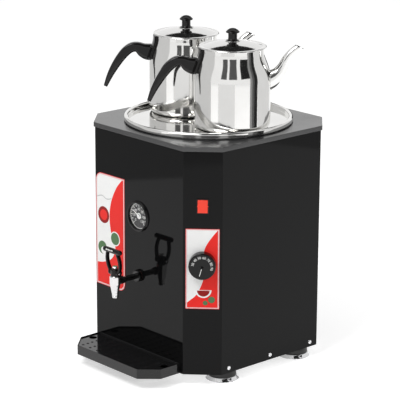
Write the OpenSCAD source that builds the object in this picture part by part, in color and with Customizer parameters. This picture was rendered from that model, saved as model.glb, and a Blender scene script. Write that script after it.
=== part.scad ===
// Electric tea urn: an octagonal water boiler with a tap, and two teapots that
// stand in the steam on its round cover. Millimetres, +Z up, front towards -Y,
// origin on the housing's vertical axis at the level the feet stand on.

/* [Housing] */
// Side of the square top plate, across the flats
top_w = 400; // [390:5:440]
// How much of each side of the top plate is cut off at a corner
top_leg = 56.6; // [50:0.1:70]
// How far the top plate stands out past the housing
top_overhang = 2; // [1.5:0.5:4]
// Height of the top plate's upper face above the worktop
top_z = 515; // [500:5:560]
// Depth of the top plate's turned-down lip
lip_h = 10; // [6:1:16]
// Thickness of the top plate
top_t = 1.2; // [1:0.1:1.5]
// Thickness of the housing sheet
sheet_t = 1; // [0.8:0.1:1.2]
// Thickness of the base pan
pan_t = 1.2; // [1:0.1:1.5]
// Height of the base pan's upstand
pan_h = 20; // [18:1:24]
// Width of the return flanges at the vertical seams
return_w = 14; // [10:1:18]
// Gap between neighbouring sheets and loose seats
fit = 0.3; // [0.2:0.05:0.4]
// Height of the panel screws above the housing's underside
screw_h = 11; // [9:0.5:12]
// Distance of the outer panel screws from the folds beside them
screw_edge = 21.4; // [15:0.2:60]
// Radius of a panel screw's head
screw_head_r = 4.4; // [4:0.1:5]

/* [Feet] */
// Height of the housing's underside above the worktop
foot_h = 24; // [20:1:30]
// Radius of a foot's dish
dish_r = 36; // [32:1:38]
// Height of a foot's dish
dish_h = 9; // [7:0.5:11]
// Radius of a foot's cup
cup_r = 30; // [26:1:31]
// Distance of the feet from the middle plane, left and right
foot_x = 163; // [150:1:164]
// Distance of the feet from the middle plane, front and back
foot_y = 106; // [90:1:110]
// Radius of a foot's stud
stud_r = 4; // [3:0.5:5]

/* [Boiler] */
// Outer radius of the water tank
tank_r = 160; // [155:1:162]
// Wall of the water tank
tank_t = 1.2; // [0.8:0.1:1.5]
// Height of the tank's bottom above the worktop
tank_z = 100; // [96:1:108]
// Radius at the foot of the tank's wall
tank_corner_r = 30; // [20:1:34]
// Width of the tank's flange on the top plate
tank_flange = 10; // [6:1:10]
// Thickness of the insulation jacket
jacket_t = 14; // [8:1:15]
// Gap between the insulation jacket and the top plate
jacket_gap = 48; // [30:1:60]
// Height of the heating element above the worktop
heater_z = 131; // [128:1:134]
// Radius of the element's tube
element_r = 4.2; // [3.5:0.1:4.5]
// Radius of the heater flange
heater_flange_r = 30; // [29:0.5:31]
// Radius of the heater socket's bore
heater_bore_r = 21.5; // [21:0.1:22]

/* [Cover] */
// How far the round cover reaches past the water tank
cover_over = 20.6; // [18:0.1:24]
// Width of the cover's rolled rim
rim_w = 9; // [7:0.5:10]
// Height of the cover's rolled rim
rim_h = 10; // [8:0.5:12]
// Gap between the rolled rim and the top plate
rim_gap = 3; // [2:0.5:4]
// Sheet of the cover
cover_t = 1; // [0.8:0.1:1.2]
// Distance between the two teapots
seat_spacing = 174; // [172:1:178]
// Turn of the line through both teapots, from +X
seat_turn = -8; // [-20:1:20]
// Radius of a seat's steam hole
seat_r = 46; // [40:1:46]
// Height of a seat's collar
collar_h = 3.5; // [2:0.5:3.5]
// Depth of the cover's spigot in the tank
spigot_in = 10; // [6:1:14]

/* [Teapots] */
// Height of a teapot from base to rim
pot_h = 169.5; // [165:0.5:180]
// Radius of the belly
belly_r = 80.6; // [78:0.1:82]
// Radius of the mouth
mouth_r = 66; // [63:0.5:67]
// Radius of the flat base
base_r = 52; // [51:0.5:56]
// Height of the rounded foot
belly_low = 42; // [34:1:46]
// Height where the belly turns into the shoulder
belly_high = 99; // [90:1:103]
// Wall of a teapot
pot_t = 1; // [0.8:0.1:1.2]
// Turn of the spouts, from +X
pot_turn = 47.8; // [44:0.2:52]
// Width of a handle at its root
handle_w = 20; // [14:1:22]
// Half the angle that the handle's saddle covers
saddle_half = 15; // [12:1:20]
// Thickness of the handle's saddle
saddle_t = 5.5; // [4:0.5:6.5]
// Height of the saddle's lower end
saddle_z = 112; // [108:1:116]
// Gap between the saddle's upper end and the pot's rim
saddle_drop = 2; // [1.5:0.5:4]
// Radius of a lid
lid_r = 71; // [70:0.5:72]
// Rise of a lid's dome
lid_rise = 12.5; // [10:0.5:15]
// Height of a lid's knob
lid_knob_h = 26.5; // [22:0.5:30]
// Radius of a lid knob's cap
lid_knob_r = 14.5; // [12:0.5:15]
// Wall of a spout
spout_t = 0.9; // [0.7:0.1:1]

/* [Tap] */
// Height of the tap's pipe above the worktop
tap_z = 207; // [204:1:212]
// Distance of the spout's axis from the front panel
tap_reach = 64.5; // [60:0.5:70]
// Radius of the threaded shank through the wall
shank_r = 10; // [9:0.5:10.5]
// Radius of the visible pipe
pipe_r = 6; // [5.5:0.5:6.5]
// Radius of the tap's waterway
way_r = 4; // [3:0.5:4.5]
// Radius of the flange nut
tap_nut_r = 13; // [12.5:0.5:14]
// Radius of the tap's spout at its top
nozzle_r = 11.5; // [11:0.1:12]
// Radius of the tap's spout at its mouth
nozzle_tip_r = 6.4; // [6:0.1:7]
// Height of the mouth above the worktop
nozzle_z = 172; // [165:1:178]
// Height of the black bonnet above the spout's body
bonnet_h = 15; // [13.5:0.5:16]
// Lift of the tap's stem when the lever is pulled
stem_lift = 5; // [3:0.5:5]
// Length of the lever's cross grip
grip_w = 57; // [50:1:64]
// Radius of the cross grip
grip_r = 5.6; // [5:0.1:6]
// Height of the grip above the lever's pivot
lever_h = 49; // [46:1:54]
// Forward lean of the lever at rest
lever_lean = 7.8; // [0:0.2:12]

/* [Front and controls] */
// Distance of the front label from the front panel's left fold
label_edge = 1.9; // [1:0.1:20]
// Width of the front label
label_w = 95; // [80:1:100]
// Lower edge of the front label above the worktop
label_z = 158; // [140:1:170]
// Height of the front label
label_h = 250; // [200:1:280]
// Radius of the front label's two round corners
label_corner_r = 18; // [8:1:25]
// Thickness of both labels
label_t = 0.5; // [0.4:0.1:0.8]
// Width of the control label
control_w = 70; // [62:1:74]
// Lower edge of the control label above the worktop
control_z = 169.5; // [160:0.5:180]
// Height of the control label
control_h = 172.5; // [150:0.5:180]
// Height of the thermostat knob's axis above the worktop
knob_z = 266; // [258:1:272]
// Radius of the thermostat knob
knob_r = 28.5; // [26:0.5:31]
// Depth of the thermostat knob
knob_h = 18; // [14:1:20]
// Height of the rocker switch's middle above the worktop
rocker_z = 390; // [385:1:420]
// Width of the rocker
rocker_w = 20.6; // [18:0.1:22]
// Height of the rocker
rocker_h = 27.4; // [24:0.1:29]
// Tilt of the rocker at rest
rocker_tilt = 7; // [5:0.5:8]
// Height of the thermometer's middle above the worktop
gauge_z = 337.5; // [320:0.5:350]
// Radius of the thermometer's flange
gauge_r = 33.5; // [32:0.5:36]
// Radius of the thermometer's dial
dial_r = 27.5; // [25:0.5:28]
// Angle of the needle at rest, anticlockwise from straight up
needle_rest = 60; // [0:5:120]

/* [Drip tray] */
// Half the width of the drip tray
tray_half = 132; // [120:1:135]
// How far the tray stands out from the front panel
tray_out = 89.5; // [85:0.5:100]
// Sideways length of the tray's cut corners
tray_cut_x = 33.5; // [25:0.5:36]
// Depth of the tray's cut corners
tray_cut_y = 36.5; // [25:0.5:38]
// Height of the tray
tray_h = 21.5; // [18:0.5:26]
// Sheet of the tray and the grate
tray_t = 1.2; // [1:0.1:1.5]
// Drop of the grate below the tray's rim
grate_drop = 2.5; // [1.5:0.5:4]
// Distance between grate holes from side to side
hole_pitch_x = 24; // [22:1:26]
// Distance between grate holes from front to back
hole_pitch_y = 12.5; // [11:0.5:13.5]
// Radius of a grate hole
hole_r = 2.5; // [2:0.1:3]
// Radius of the grate's two finger holes
finger_r = 8.5; // [7:0.5:9]
// Distance of the finger holes from the front panel
finger_out = 31; // [20:1:45]

/* [Supply] */
// Radius of the cord's way through the gland
gland_bore_r = 4.5; // [3.5:0.1:5.5]
// Radius of the gland's thread
gland_r = 10; // [8:0.5:11]
// Sideways place of the gland on the back
gland_x = 110; // [60:5:120]
// Height of the gland above the worktop
gland_z = 66; // [60:1:80]

/* [Hidden] */
$fn = 64;
// Running clearance on the radius of a turning or sliding pin
run = 0.05;
// Overlap that lets a cut pass cleanly through a face
eps = 0.5;
// Clearance of a screw in its hole, on the radius
hole_fit = 0.15;

half_w = top_w / 2 - top_overhang;
half_v = half_w - top_leg;
screw_pitch = half_v - screw_edge;
chamfer_x = (half_w + half_v) / sqrt(2);
side_x = half_w - sheet_t;
corner_x = chamfer_x - sheet_t;
plate_z = top_z - top_t;
wall_z1 = plate_z - fit;
flange_z0 = foot_h + pan_h + 2;
flange_z1 = top_z - lip_h - 5;
pan_inset = sheet_t + fit;

tank_hole_r = tank_r + 2;
tank_bore_r = tank_r - tank_t;
tank_flange_z = top_z + tank_t;
cover_z = tank_flange_z + fit;
plate_top_z = cover_z + cover_t;
rim_z0 = top_z + rim_gap;
rim_z1 = rim_z0 + rim_h;
cover_r = tank_r + cover_over;
rim_mid_r = cover_r - rim_w / 2;
spigot_r = min(tank_bore_r, rim_mid_r - rim_w / 2) - 2;
spigot_z = top_z - spigot_in;

seat_at = seat_spacing / 2 * [cos(seat_turn), sin(seat_turn)];
pot_z = plate_top_z;
recess_r = seat_r + cover_t + 3;
recess_h = collar_h + 1;

nozzle_x = half_w + tap_reach;
nozzle_top_z = tap_z + 13;
seat_z = tap_z - 9;
chamber_r = nozzle_r - 3.5;
stem_r = 3;
pin_r = 1.6;
pivot_z = nozzle_top_z + 7.5;
bonnet_r = nozzle_r - 2;
arm_in = bonnet_r + 0.4;
arm_t = 5;
arm_d = 9.5;
stem_top_z = nozzle_top_z + bonnet_h + 6;

gauge_face_x = half_w + 5;
glass_x = half_w + 2.6;
dial_x = half_w - 2;
socket_x = tank_r + 7;
gauge_socket_x = tank_r + 1.5;
heater_seat_x = tank_r + 12;
gasket_t = 2;
heater_x = heater_seat_x + gasket_t;

tray_z0 = foot_h;
tray_y0 = -half_w - fit;
tray_y1 = -half_w - tray_out;
grate_z = tray_z0 + tray_h - grate_drop;
runner_t = 2.5;
runner_x = 78;

// ---- Helpers: places and directions ----

// Local +X points out of the front panel, local +Y to the right
module on_front() rotate([0, 0, -90]) children();
// Local +X points out of the front right chamfer
module on_chamfer() rotate([0, 0, -45]) children();
// Local +X points out of the back
module on_back() rotate([0, 0, 90]) children();
module at_feet() for (x = [-foot_x, foot_x], y = [-foot_y, foot_y]) translate([x, y, 0]) children();
module rod_x(r, x0, x1) translate([x0, 0, 0]) rotate([0, 90, 0]) cylinder(r = r, h = x1 - x0);
module hex_x(flat_r, x0, x1)
    translate([x0, 0, 0]) rotate([0, 90, 0]) cylinder(r = flat_r / cos(30), h = x1 - x0, $fn = 6);
// A profile drawn as [distance out, radius], turned about the local X axis
module turned_x() rotate([0, 90, 0]) rotate_extrude() children();

// ---- Helpers: bent sheet ----

// Octagon outline: a square of half width h with its corners cut, moved in by d
function oct(h, leg, d) =
    let (a = h - d, b = a - leg + d * (2 - sqrt(2)))
    [[a, -b], [a, b], [b, a], [-b, a], [-a, b], [-a, -b], [-b, -a], [b, -a]];
function unit(v) = v / norm(v);
function left(v) = [-v[1], v[0]];
function seg_left(P, i) = left(unit(P[i + 1] - P[i]));
function mitre(P, i) =
    i == 0 ? seg_left(P, 0)
    : i == len(P) - 1 ? seg_left(P, i - 1)
    : (seg_left(P, i - 1) + seg_left(P, i)) / (1 + seg_left(P, i - 1) * seg_left(P, i));
// Outline of a sheet bent along the line P, its thickness t to the left of P
function bent(P, t) = concat(P, [for (i = [len(P) - 1 : -1 : 0]) P[i] + t * mitre(P, i)]);
module sheet_wall(P, t, z0, z1) translate([0, 0, z0]) linear_extrude(z1 - z0) polygon(bent(P, t));
module slab(points, z0, z1) translate([0, 0, z0]) linear_extrude(z1 - z0) polygon(points);

// ---- Helpers: curves and lofts ----

function arc(c, r, a0, a1, n) = [for (i = [0 : n]) let (a = a0 + (a1 - a0) * i / n) c + r * [cos(a), sin(a)]];
function reversed(P) = [for (i = [len(P) - 1 : -1 : 0]) P[i]];
// A point on the smooth curve through all of P, u from 0 to 1
function curve(P, u) =
    let (
        n = len(P) - 1,
        i = min(floor(u * n), n - 1),
        t = u * n - i,
        a = P[max(i - 1, 0)],
        b = P[i],
        c = P[i + 1],
        d = P[min(i + 2, n)]
    )
    0.5 * (2 * b + (c - a) * t + (2 * a - 5 * b + 4 * c - d) * t * t + (3 * b - a - 3 * c + d) * t * t * t);
function slope(P, u) =
    let (v = curve(P, min(u + 0.01, 1)) - curve(P, max(u - 0.01, 0)))
    unit([v[0], v[1]]);
// A bar whose stations [x, z, half height, half width] lie in the XZ plane; its
// section is an ellipse, and squarer the smaller squareness is
module loft(P, rings, sides, squareness = 1) {
    points = [
        for (k = [0 : rings])
        let (
            s = curve(P, k / rings),
            n = left(slope(P, k / rings))
        )
        for (j = [0 : sides - 1])
        let (
            a = 360 * j / sides,
            u = sign(cos(a)) * pow(abs(cos(a)), squareness),
            v = sign(sin(a)) * pow(abs(sin(a)), squareness)
        )
        [s[0] + n[0] * s[2] * u, s[3] * v, s[1] + n[1] * s[2] * u]
    ];
    sides_faces = [
        for (k = [0 : rings - 1], j = [0 : sides - 1])
        let (a = k * sides + j, b = k * sides + (j + 1) % sides)
        each [[a, b, b + sides], [a, b + sides, a + sides]]
    ];
    caps = [[for (j = [sides - 1 : -1 : 0]) j], [for (j = [0 : sides - 1]) rings * sides + j]];
    polyhedron(points, concat(sides_faces, caps));
}

// ---- Housing ----

// Panel with a chamfer at each side, cut off flush with the folds' seams
module wrap_wall() translate([0, 0, foot_h]) linear_extrude(wall_z1 - foot_h) intersection() {
    difference() {
        polygon(oct(half_w, top_leg, 0));
        polygon(oct(half_w, top_leg, sheet_t));
    }
    translate([-half_w, -half_w]) square([2 * half_w, top_leg]);
}

// Folded pan that closes the bottom; the side panels screw to its upstand
module base_pan() color("dimgray") difference() {
    union() {
        slab(oct(half_w, top_leg, pan_inset), foot_h, foot_h + pan_t);
        difference() {
            slab(oct(half_w, top_leg, pan_inset), foot_h, foot_h + pan_h);
            slab(oct(half_w, top_leg, pan_inset + pan_t), foot_h - eps, foot_h + pan_h + eps);
        }
    }
    at_feet() translate([0, 0, foot_h - eps]) cylinder(r = stud_r + hole_fit, h = pan_t + 2 * eps);
    for (a = [0, 90, 180]) rotate([0, 0, a]) screw_row() rod_x(2 + hole_fit, half_w - 6, half_w);
}
module screw_row() for (k = [-1 : 1]) translate([0, k * screw_pitch, foot_h + screw_h]) children();

// Front panel and both front chamfers, folded from one sheet
module front_wrap() color("black") difference() {
    union() {
        wrap_wall();
        wrap_returns();
    }
    on_front() {
        translate([0, 0, tap_z]) rod_x(shank_r + fit, half_w - 3, half_w + eps);
        translate([0, 0, gauge_z]) rod_x(gauge_cup_r() + fit, half_w - 3, half_w + eps);
    }
    on_chamfer() {
        translate([corner_x - eps, -cup_w() / 2 - fit, rocker_z - cup_h() / 2 - fit])
            cube([sheet_t + 2 * eps, cup_w() + 2 * fit, cup_h() + 2 * fit]);
        translate([0, 0, knob_z]) rod_x(bushing_r() + fit, corner_x - eps, chamfer_x + eps);
    }
}
// Flanges folded inwards at the two ends of a wrap
module wrap_returns() for (m = [0, 1]) mirror([m, 0, 0]) sheet_wall(
    [[half_v, -half_w], [half_w, -half_v], [half_w - return_w, -half_v]],
    sheet_t, flange_z0, flange_z1
);

// Flat side sheet with a flange folded inwards at each vertical edge
module side_panel() color("black") difference() {
    union() {
        translate([side_x, -half_v + fit, foot_h]) cube([sheet_t, 2 * (half_v - fit), wall_z1 - foot_h]);
        sheet_wall(
            [
                [half_w - return_w, -half_v + fit], [half_w, -half_v + fit],
                [half_w, half_v - fit], [half_w - return_w, half_v - fit]
            ],
            sheet_t, flange_z0, flange_z1
        );
    }
    screw_row() rod_x(2 + hole_fit, half_w - 3, half_w + eps);
}
module side_panel_right() side_panel();
module side_panel_left() mirror([1, 0, 0]) side_panel();

vent_n = 12;
vent_pitch = 12;
vent_w = 4;
vent_h = 46;
vent_drop = 17.5;
vent_z = wall_z1 - vent_drop - vent_h;
// Back panel and both rear chamfers, with air slots above the terminal space
module rear_wrap() color("black") difference() {
    rotate([0, 0, 180]) {
        wrap_wall();
        wrap_returns();
    }
    on_back() {
        for (k = [0 : vent_n - 1], z = [vent_z, vent_z - vent_h - vent_pitch])
            translate([side_x - eps, (k - (vent_n - 1) / 2) * vent_pitch - vent_w / 2, z])
                cube([sheet_t + 2 * eps, vent_w, vent_h]);
        translate([0, -gland_x, gland_z]) rod_x(gland_r + fit, half_w - 3, half_w + eps);
        screw_row() rod_x(2 + hole_fit, half_w - 3, half_w + eps);
    }
}

// Top plate with a turned-down lip; the tank hangs in its round hole
module top_plate() color("black") difference() {
    slab(oct(top_w / 2, top_leg, 0), top_z - lip_h, top_z);
    slab(oct(top_w / 2, top_leg, top_t), top_z - lip_h - eps, plate_z);
    translate([0, 0, plate_z - eps]) cylinder(r = tank_hole_r, h = top_t + 2 * eps, $fn = 128);
}

// Angle brackets in the four corners, which tie the chamfers to the top plate
bracket_w = 36;
bracket_h = 22;
bracket_t = 1.5;
module top_brackets() color("silver") for (k = [0 : 3]) rotate([0, 0, 45 + 90 * k]) {
    translate([corner_x - fit - bracket_t, -bracket_w / 2, plate_z - fit - bracket_h])
        cube([bracket_t, bracket_w, bracket_h]);
    translate([corner_x - fit - bracket_h, -bracket_w / 2, plate_z - fit - bracket_t])
        cube([bracket_h, bracket_w, bracket_t]);
}

// Bright domed screws along the bottom of the sides and the back
module panel_screws() color("white") for (a = [0, 90, 180]) rotate([0, 0, a]) screw_row() turned_x()
    polygon(concat(
        [[0, half_w - 6], [2, half_w - 6], [2, half_w], [screw_head_r, half_w]],
        arc([screw_head_r - 1.6, half_w + 0.4], 1.6, 0, 80, 6),
        [[0, half_w + 2.1]]
    ));

// ---- Feet ----

module foot_cups() color("black") at_feet() rotate_extrude() polygon([
    [stud_r + hole_fit, dish_h + fit], [cup_r - 1, dish_h + fit], [cup_r, dish_h + 2],
    [cup_r - 1, foot_h - 5], [cup_r - 3, foot_h], [stud_r + hole_fit, foot_h]
]);
module foot_dishes() color("gainsboro") at_feet() rotate_extrude() polygon(concat(
    [[stud_r + hole_fit, dish_h / 2], [dish_r - 8, dish_h / 2], [dish_r - 7, 0]],
    arc([dish_r - 1.5, 1.5], 1.5, -90, 40, 6),
    [[cup_r + 0.5, dish_h - 0.8], [cup_r - 1, dish_h], [stud_r + hole_fit, dish_h]]
));
module foot_studs() color("silver") at_feet() {
    translate([0, 0, dish_h / 2 - 3]) cylinder(r = stud_r * 1.7, h = 3);
    translate([0, 0, dish_h / 2 - 3]) cylinder(r = stud_r, h = foot_h + 11 - dish_h / 2);
}
module foot_nuts() color("silver") at_feet() translate([0, 0, foot_h + pan_t]) difference() {
    cylinder(r = stud_r * 1.85, h = stud_r * 1.6, $fn = 6);
    translate([0, 0, -eps]) cylinder(r = stud_r + hole_fit, h = stud_r * 1.6 + 2 * eps);
}

// ---- Boiler ----

// Deep-drawn vessel with a flange and welded sockets for tap, gauge, heater and bulb
bulb_z = 185;
bulb_r = 4;
module tank() color("silver") difference() {
    union() {
        rotate_extrude($fn = 128) polygon(concat(
            [[0, tank_z]],
            arc([tank_r - tank_corner_r, tank_z + tank_corner_r], tank_corner_r, -90, 0, 10),
            [[tank_r, top_z], [tank_r + tank_flange, top_z], [tank_r + tank_flange, tank_flange_z]],
            [[tank_bore_r, tank_flange_z]],
            arc([tank_r - tank_corner_r, tank_z + tank_corner_r], tank_corner_r - tank_t, 0, -90, 10),
            [[0, tank_z + tank_t]]
        ));
        on_front() {
            translate([0, 0, tap_z]) rod_x(shank_r + 5, tank_r - 5, socket_x);
            translate([0, 0, gauge_z]) rod_x(9, tank_r - 12, gauge_socket_x);
        }
        on_chamfer() {
            translate([0, 0, heater_z]) rod_x(heater_flange_r, tank_r - 7, heater_seat_x);
            translate([0, 0, bulb_z]) rod_x(8, tank_r - 4, socket_x);
        }
    }
    on_front() {
        translate([0, 0, tap_z]) rod_x(shank_r + hole_fit, tank_r - 12, socket_x + eps);
        translate([0, 0, gauge_z]) rod_x(gauge_stem_r + hole_fit, tank_r - 13, gauge_socket_x + eps);
    }
    on_chamfer() {
        translate([0, 0, heater_z]) rod_x(heater_bore_r, tank_r - 12, heater_seat_x + eps);
        translate([0, 0, bulb_z]) rod_x(bulb_r + hole_fit, tank_r - 12, socket_x + eps);
        translate([0, 0, heater_z]) bolt_circle() rod_x(2 + hole_fit, heater_seat_x - 10, heater_seat_x + eps);
    }
}
module bolt_circle() for (a = [0 : 90 : 270])
    rotate([a, 0, 0]) translate([0, 0, (heater_flange_r + heater_bore_r) / 2]) children();

jacket_h = plate_z - jacket_gap - tank_z - tank_corner_r;
// Glass-wool jacket with openings for the sockets and the thermometer's case
module insulation() color("khaki") difference() {
    translate([0, 0, tank_z + tank_corner_r]) cylinder(r = tank_r + fit + jacket_t, h = jacket_h, $fn = 128);
    translate([0, 0, tank_z + tank_corner_r - eps]) cylinder(r = tank_r + fit, h = jacket_h + 2 * eps, $fn = 128);
    on_front() {
        translate([0, 0, tap_z]) rod_x(shank_r + 6, tank_r - 10, half_w);
        translate([0, 0, gauge_z]) rod_x(gauge_cup_r() + 2, tank_r - 10, half_w);
    }
    on_chamfer() {
        translate([0, 0, heater_z]) rod_x(heater_flange_r + 2, tank_r - 10, chamfer_x);
        translate([0, 0, bulb_z]) rod_x(9, tank_r - 10, chamfer_x);
    }
}

// Two tube hairpins brazed into a round flange, with a terminal pin on each leg
hairpin_r = 11;
hairpin_dz = 7;
hairpin_end = 90;
module heating_element() color("silver") on_chamfer() translate([0, 0, heater_z]) {
    difference() {
        rod_x(heater_flange_r, heater_x, heater_x + 4);
        bolt_circle() rod_x(2 + hole_fit, heater_x - eps, heater_x + 4 + eps);
    }
    for (z = [-hairpin_dz, hairpin_dz]) translate([0, 0, z]) {
        for (y = [-hairpin_r, hairpin_r]) translate([0, y, 0]) {
            rod_x(element_r, -hairpin_end, heater_x + 4);
            rod_x(1.8, heater_x + 3, heater_x + 16);
        }
        translate([-hairpin_end, 0, 0]) rotate([0, 0, 90]) rotate_extrude(angle = 180)
            translate([hairpin_r, 0]) circle(r = element_r);
    }
}
module heater_gasket() color("darkred") on_chamfer() translate([0, 0, heater_z]) difference() {
    rod_x(heater_flange_r, heater_seat_x, heater_x);
    rod_x(heater_bore_r, heater_seat_x - eps, heater_x + eps);
    bolt_circle() rod_x(2 + hole_fit, heater_seat_x - eps, heater_x + eps);
}
module heater_bolts() color("silver") on_chamfer() translate([0, 0, heater_z]) bolt_circle() {
    rod_x(2, heater_seat_x - 9, heater_x + 6);
    hex_x(3.4, heater_x + 4, heater_x + 7);
}
// Snap disc under the tank that cuts the heater off when the tank boils dry
module dry_boil_cutout() color("saddlebrown") translate([0, 0, tank_z - fit]) {
    translate([0, 0, -2]) cylinder(r = 12, h = 2);
    translate([0, 0, -10]) cylinder(r = 8, h = 9);
    for (x = [-5, 5]) translate([x - 0.4, -3, -18]) cube([0.8, 6, 9]);
}

// ---- Switch and thermostat on the front right chamfer ----

bezel_t = 1.8;
bezel_edge = 2.3;
rocker_gap = 0.3;
cup_wall = 1;
function cup_w() = rocker_w + 2 * (rocker_gap + cup_wall);
function cup_h() = rocker_h + 2 * (rocker_gap + cup_wall);
cup_d = 24;
pivot_x = chamfer_x + 1;
trunnion_r = 1.5;
// Black frame and cup that snap into the chamfer, with three spade terminals
module rocker_housing() color("black") on_chamfer() translate([0, 0, rocker_z]) difference() {
    union() {
        translate([chamfer_x - cup_d, -cup_w() / 2, -cup_h() / 2]) cube([cup_d + bezel_t, cup_w(), cup_h()]);
        translate([chamfer_x, 0, 0]) rotate([0, 90, 0]) linear_extrude(bezel_t)
            square([rocker_h + 2 * bezel_edge, rocker_w + 2 * bezel_edge], center = true);
        for (z = [-9, 0, 9]) translate([chamfer_x - cup_d - 8, -3.2, z - 0.4]) cube([9, 6.4, 0.8]);
    }
    translate([chamfer_x - cup_d + 2, -rocker_w / 2 - rocker_gap, -rocker_h / 2 - rocker_gap])
        cube([cup_d + bezel_t, rocker_w + 2 * rocker_gap, rocker_h + 2 * rocker_gap]);
    translate([pivot_x, -cup_w() / 2 - 1, 0]) rotate([-90, 0, 0])
        cylinder(r = trunnion_r + run, h = cup_w() + 2);
}
// Red rocker: its ends are arcs about the pivot and its face is a shallow V
module rocker() color("red") on_chamfer() translate([pivot_x, 0, rocker_z]) rotate([0, -rocker_tilt, 0]) {
    rotate([90, 0, 0]) translate([0, 0, -rocker_w / 2]) linear_extrude(rocker_w) intersection() {
        circle(r = rocker_h / 2);
        polygon([[-5, -rocker_h], [5.6, -rocker_h], [3.2, 0], [5.6, rocker_h], [-5, rocker_h]]);
    }
    translate([0, -cup_w() / 2 + fit, 0]) rotate([-90, 0, 0]) cylinder(r = trunnion_r, h = cup_w() - 2 * fit);
}

function bushing_r() = 4.8;
spindle_r = 3;
thermo_d = 22;
// Capillary thermostat with its mounting plate and bushing
module thermostat_body() color("lightgray") on_chamfer() translate([0, 0, knob_z]) difference() {
    union() {
        translate([corner_x - fit - 1.5, -24, -13]) cube([1.5, 48, 26]);
        rod_x(16, corner_x - fit - 1.5 - thermo_d, corner_x - fit - 1);
        rod_x(bushing_r(), corner_x - fit - 1.5, chamfer_x + 0.9);
        for (y = [-8, 8]) translate([corner_x - fit - 9.5 - thermo_d, y - 3.2, -0.4]) cube([9, 6.4, 0.8]);
    }
    rod_x(spindle_r + run, corner_x - thermo_d + 4, chamfer_x + 5);
}
module thermostat_shaft() color("silver") on_chamfer() translate([0, 0, knob_z]) difference() {
    rod_x(spindle_r, corner_x - thermo_d + 5, chamfer_x + knob_h - 4);
    translate([chamfer_x + 4, -spindle_r - 1, 1.8]) cube([knob_h, 2 * spindle_r + 2, spindle_r]);
}
knob_x = chamfer_x + label_t + 0.6;
// Hollow moulded knob, turned about the shaft, with a pointer rib on its face
module thermostat_knob() color("black") on_chamfer() translate([0, 0, knob_z]) {
    turned_x() difference() {
        polygon(concat(
            [[spindle_r + run, knob_x], [knob_r - 0.6, knob_x], [knob_r, knob_x + 1]],
            arc([knob_r - 3.2, knob_x + knob_h - 3], 3, 0, 90, 6),
            [[spindle_r + run, knob_x + knob_h]]
        ));
        translate([7, knob_x - eps]) square([knob_r - 9.2, knob_h - 3 + eps]);
    }
    rod_x(spindle_r + 1, knob_x + knob_h - 2.5, knob_x + knob_h);
    rotate([-15, 0, 0]) translate([knob_x + knob_h - 0.4, -0.8, -21]) cube([0.8, 1.6, 17]);
}
// Bulb in the water, its gland nut, and the capillary up to the thermostat
bulb_in = 70;
capillary_r = 1.2;
capillary_bend = 10;
capillary_x = corner_x - fit - 1.5 - thermo_d / 2 - capillary_bend;
module thermostat_bulb() color("peru") on_chamfer() translate([0, 0, bulb_z]) {
    rod_x(bulb_r, bulb_in, socket_x + 6);
    hex_x(7, socket_x, socket_x + 6);
    rod_x(capillary_r, socket_x + 5, capillary_x);
    translate([capillary_x, 0, capillary_bend]) rotate([90, 0, 0]) rotate([0, 0, -90])
        rotate_extrude(angle = 90) translate([capillary_bend, 0]) circle(r = capillary_r);
    translate([capillary_x + capillary_bend, 0, capillary_bend])
        cylinder(r = capillary_r, h = knob_z - bulb_z - 16 - capillary_bend - fit);
}

// ---- Thermometer on the front panel ----

function gauge_cup_r() = dial_r + 2.6;
gauge_cup_d = 15;
gauge_stem_r = 4;
gauge_stem_in = 26;
spindle_needle_r = 0.8;
// Case with a rounded bezel in front of the panel and a stem into the tank
module gauge_case() color("black") on_front() translate([0, 0, gauge_z]) {
    difference() {
        turned_x() polygon(concat(
            [[0, half_w - gauge_cup_d], [gauge_cup_r(), half_w - gauge_cup_d], [gauge_cup_r(), half_w]],
            [[gauge_r, half_w], [gauge_r, half_w + 1.5]],
            arc([dial_r + 2.4, half_w + 2.5], 2.5, 40, 150, 8),
            [[dial_r, glass_x - 0.4], [dial_r + 0.6, glass_x - 0.4], [dial_r + 0.6, dial_x - 1]],
            [[dial_r - 2, dial_x - 1], [dial_r - 2, half_w - gauge_cup_d + 2], [0, half_w - gauge_cup_d + 2]]
        ));
        rod_x(spindle_needle_r + run, half_w - gauge_cup_d + 0.8, half_w);
    }
    rod_x(gauge_stem_r, tank_r - gauge_stem_in, half_w - gauge_cup_d + eps);
}
module gauge_dial() color("dimgray") on_front() translate([0, 0, gauge_z]) difference() {
    rod_x(dial_r, dial_x - 1, dial_x);
    rod_x(spindle_needle_r + run, dial_x - 2, dial_x + 1);
}
needle_x = dial_x + 0.8;
needle_l = 21;
// Needle, hub and spindle, which turn together
module gauge_needle() color("white") on_front() translate([0, 0, gauge_z]) {
    rod_x(spindle_needle_r, half_w - gauge_cup_d + 1.2, needle_x + 1);
    rod_x(3.2, needle_x, needle_x + 1.8);
    translate([needle_x, 0, 0]) rotate([needle_rest, 0, 0]) rotate([0, 90, 0]) linear_extrude(0.8)
        polygon([[7, -1.6], [7, 1.6], [-needle_l, 0.5], [-needle_l, -0.5]]);
}
module gauge_glass() color("lightblue", 0.4) on_front() translate([0, 0, gauge_z])
    rod_x(dial_r + 0.4, glass_x - 1.8, glass_x - 0.6);

// ---- Labels ----

// Plate with two round corners, upper left and lower right
module front_label() color("red") translate([label_edge - half_v, -half_w, label_z]) rotate([90, 0, 0])
    linear_extrude(label_t) difference() {
        square([label_w, label_h]);
        corner_cut([0, label_h], [label_corner_r, label_h - label_corner_r]);
        corner_cut([label_w, 0], [label_w - label_corner_r, label_corner_r]);
    }
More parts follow.
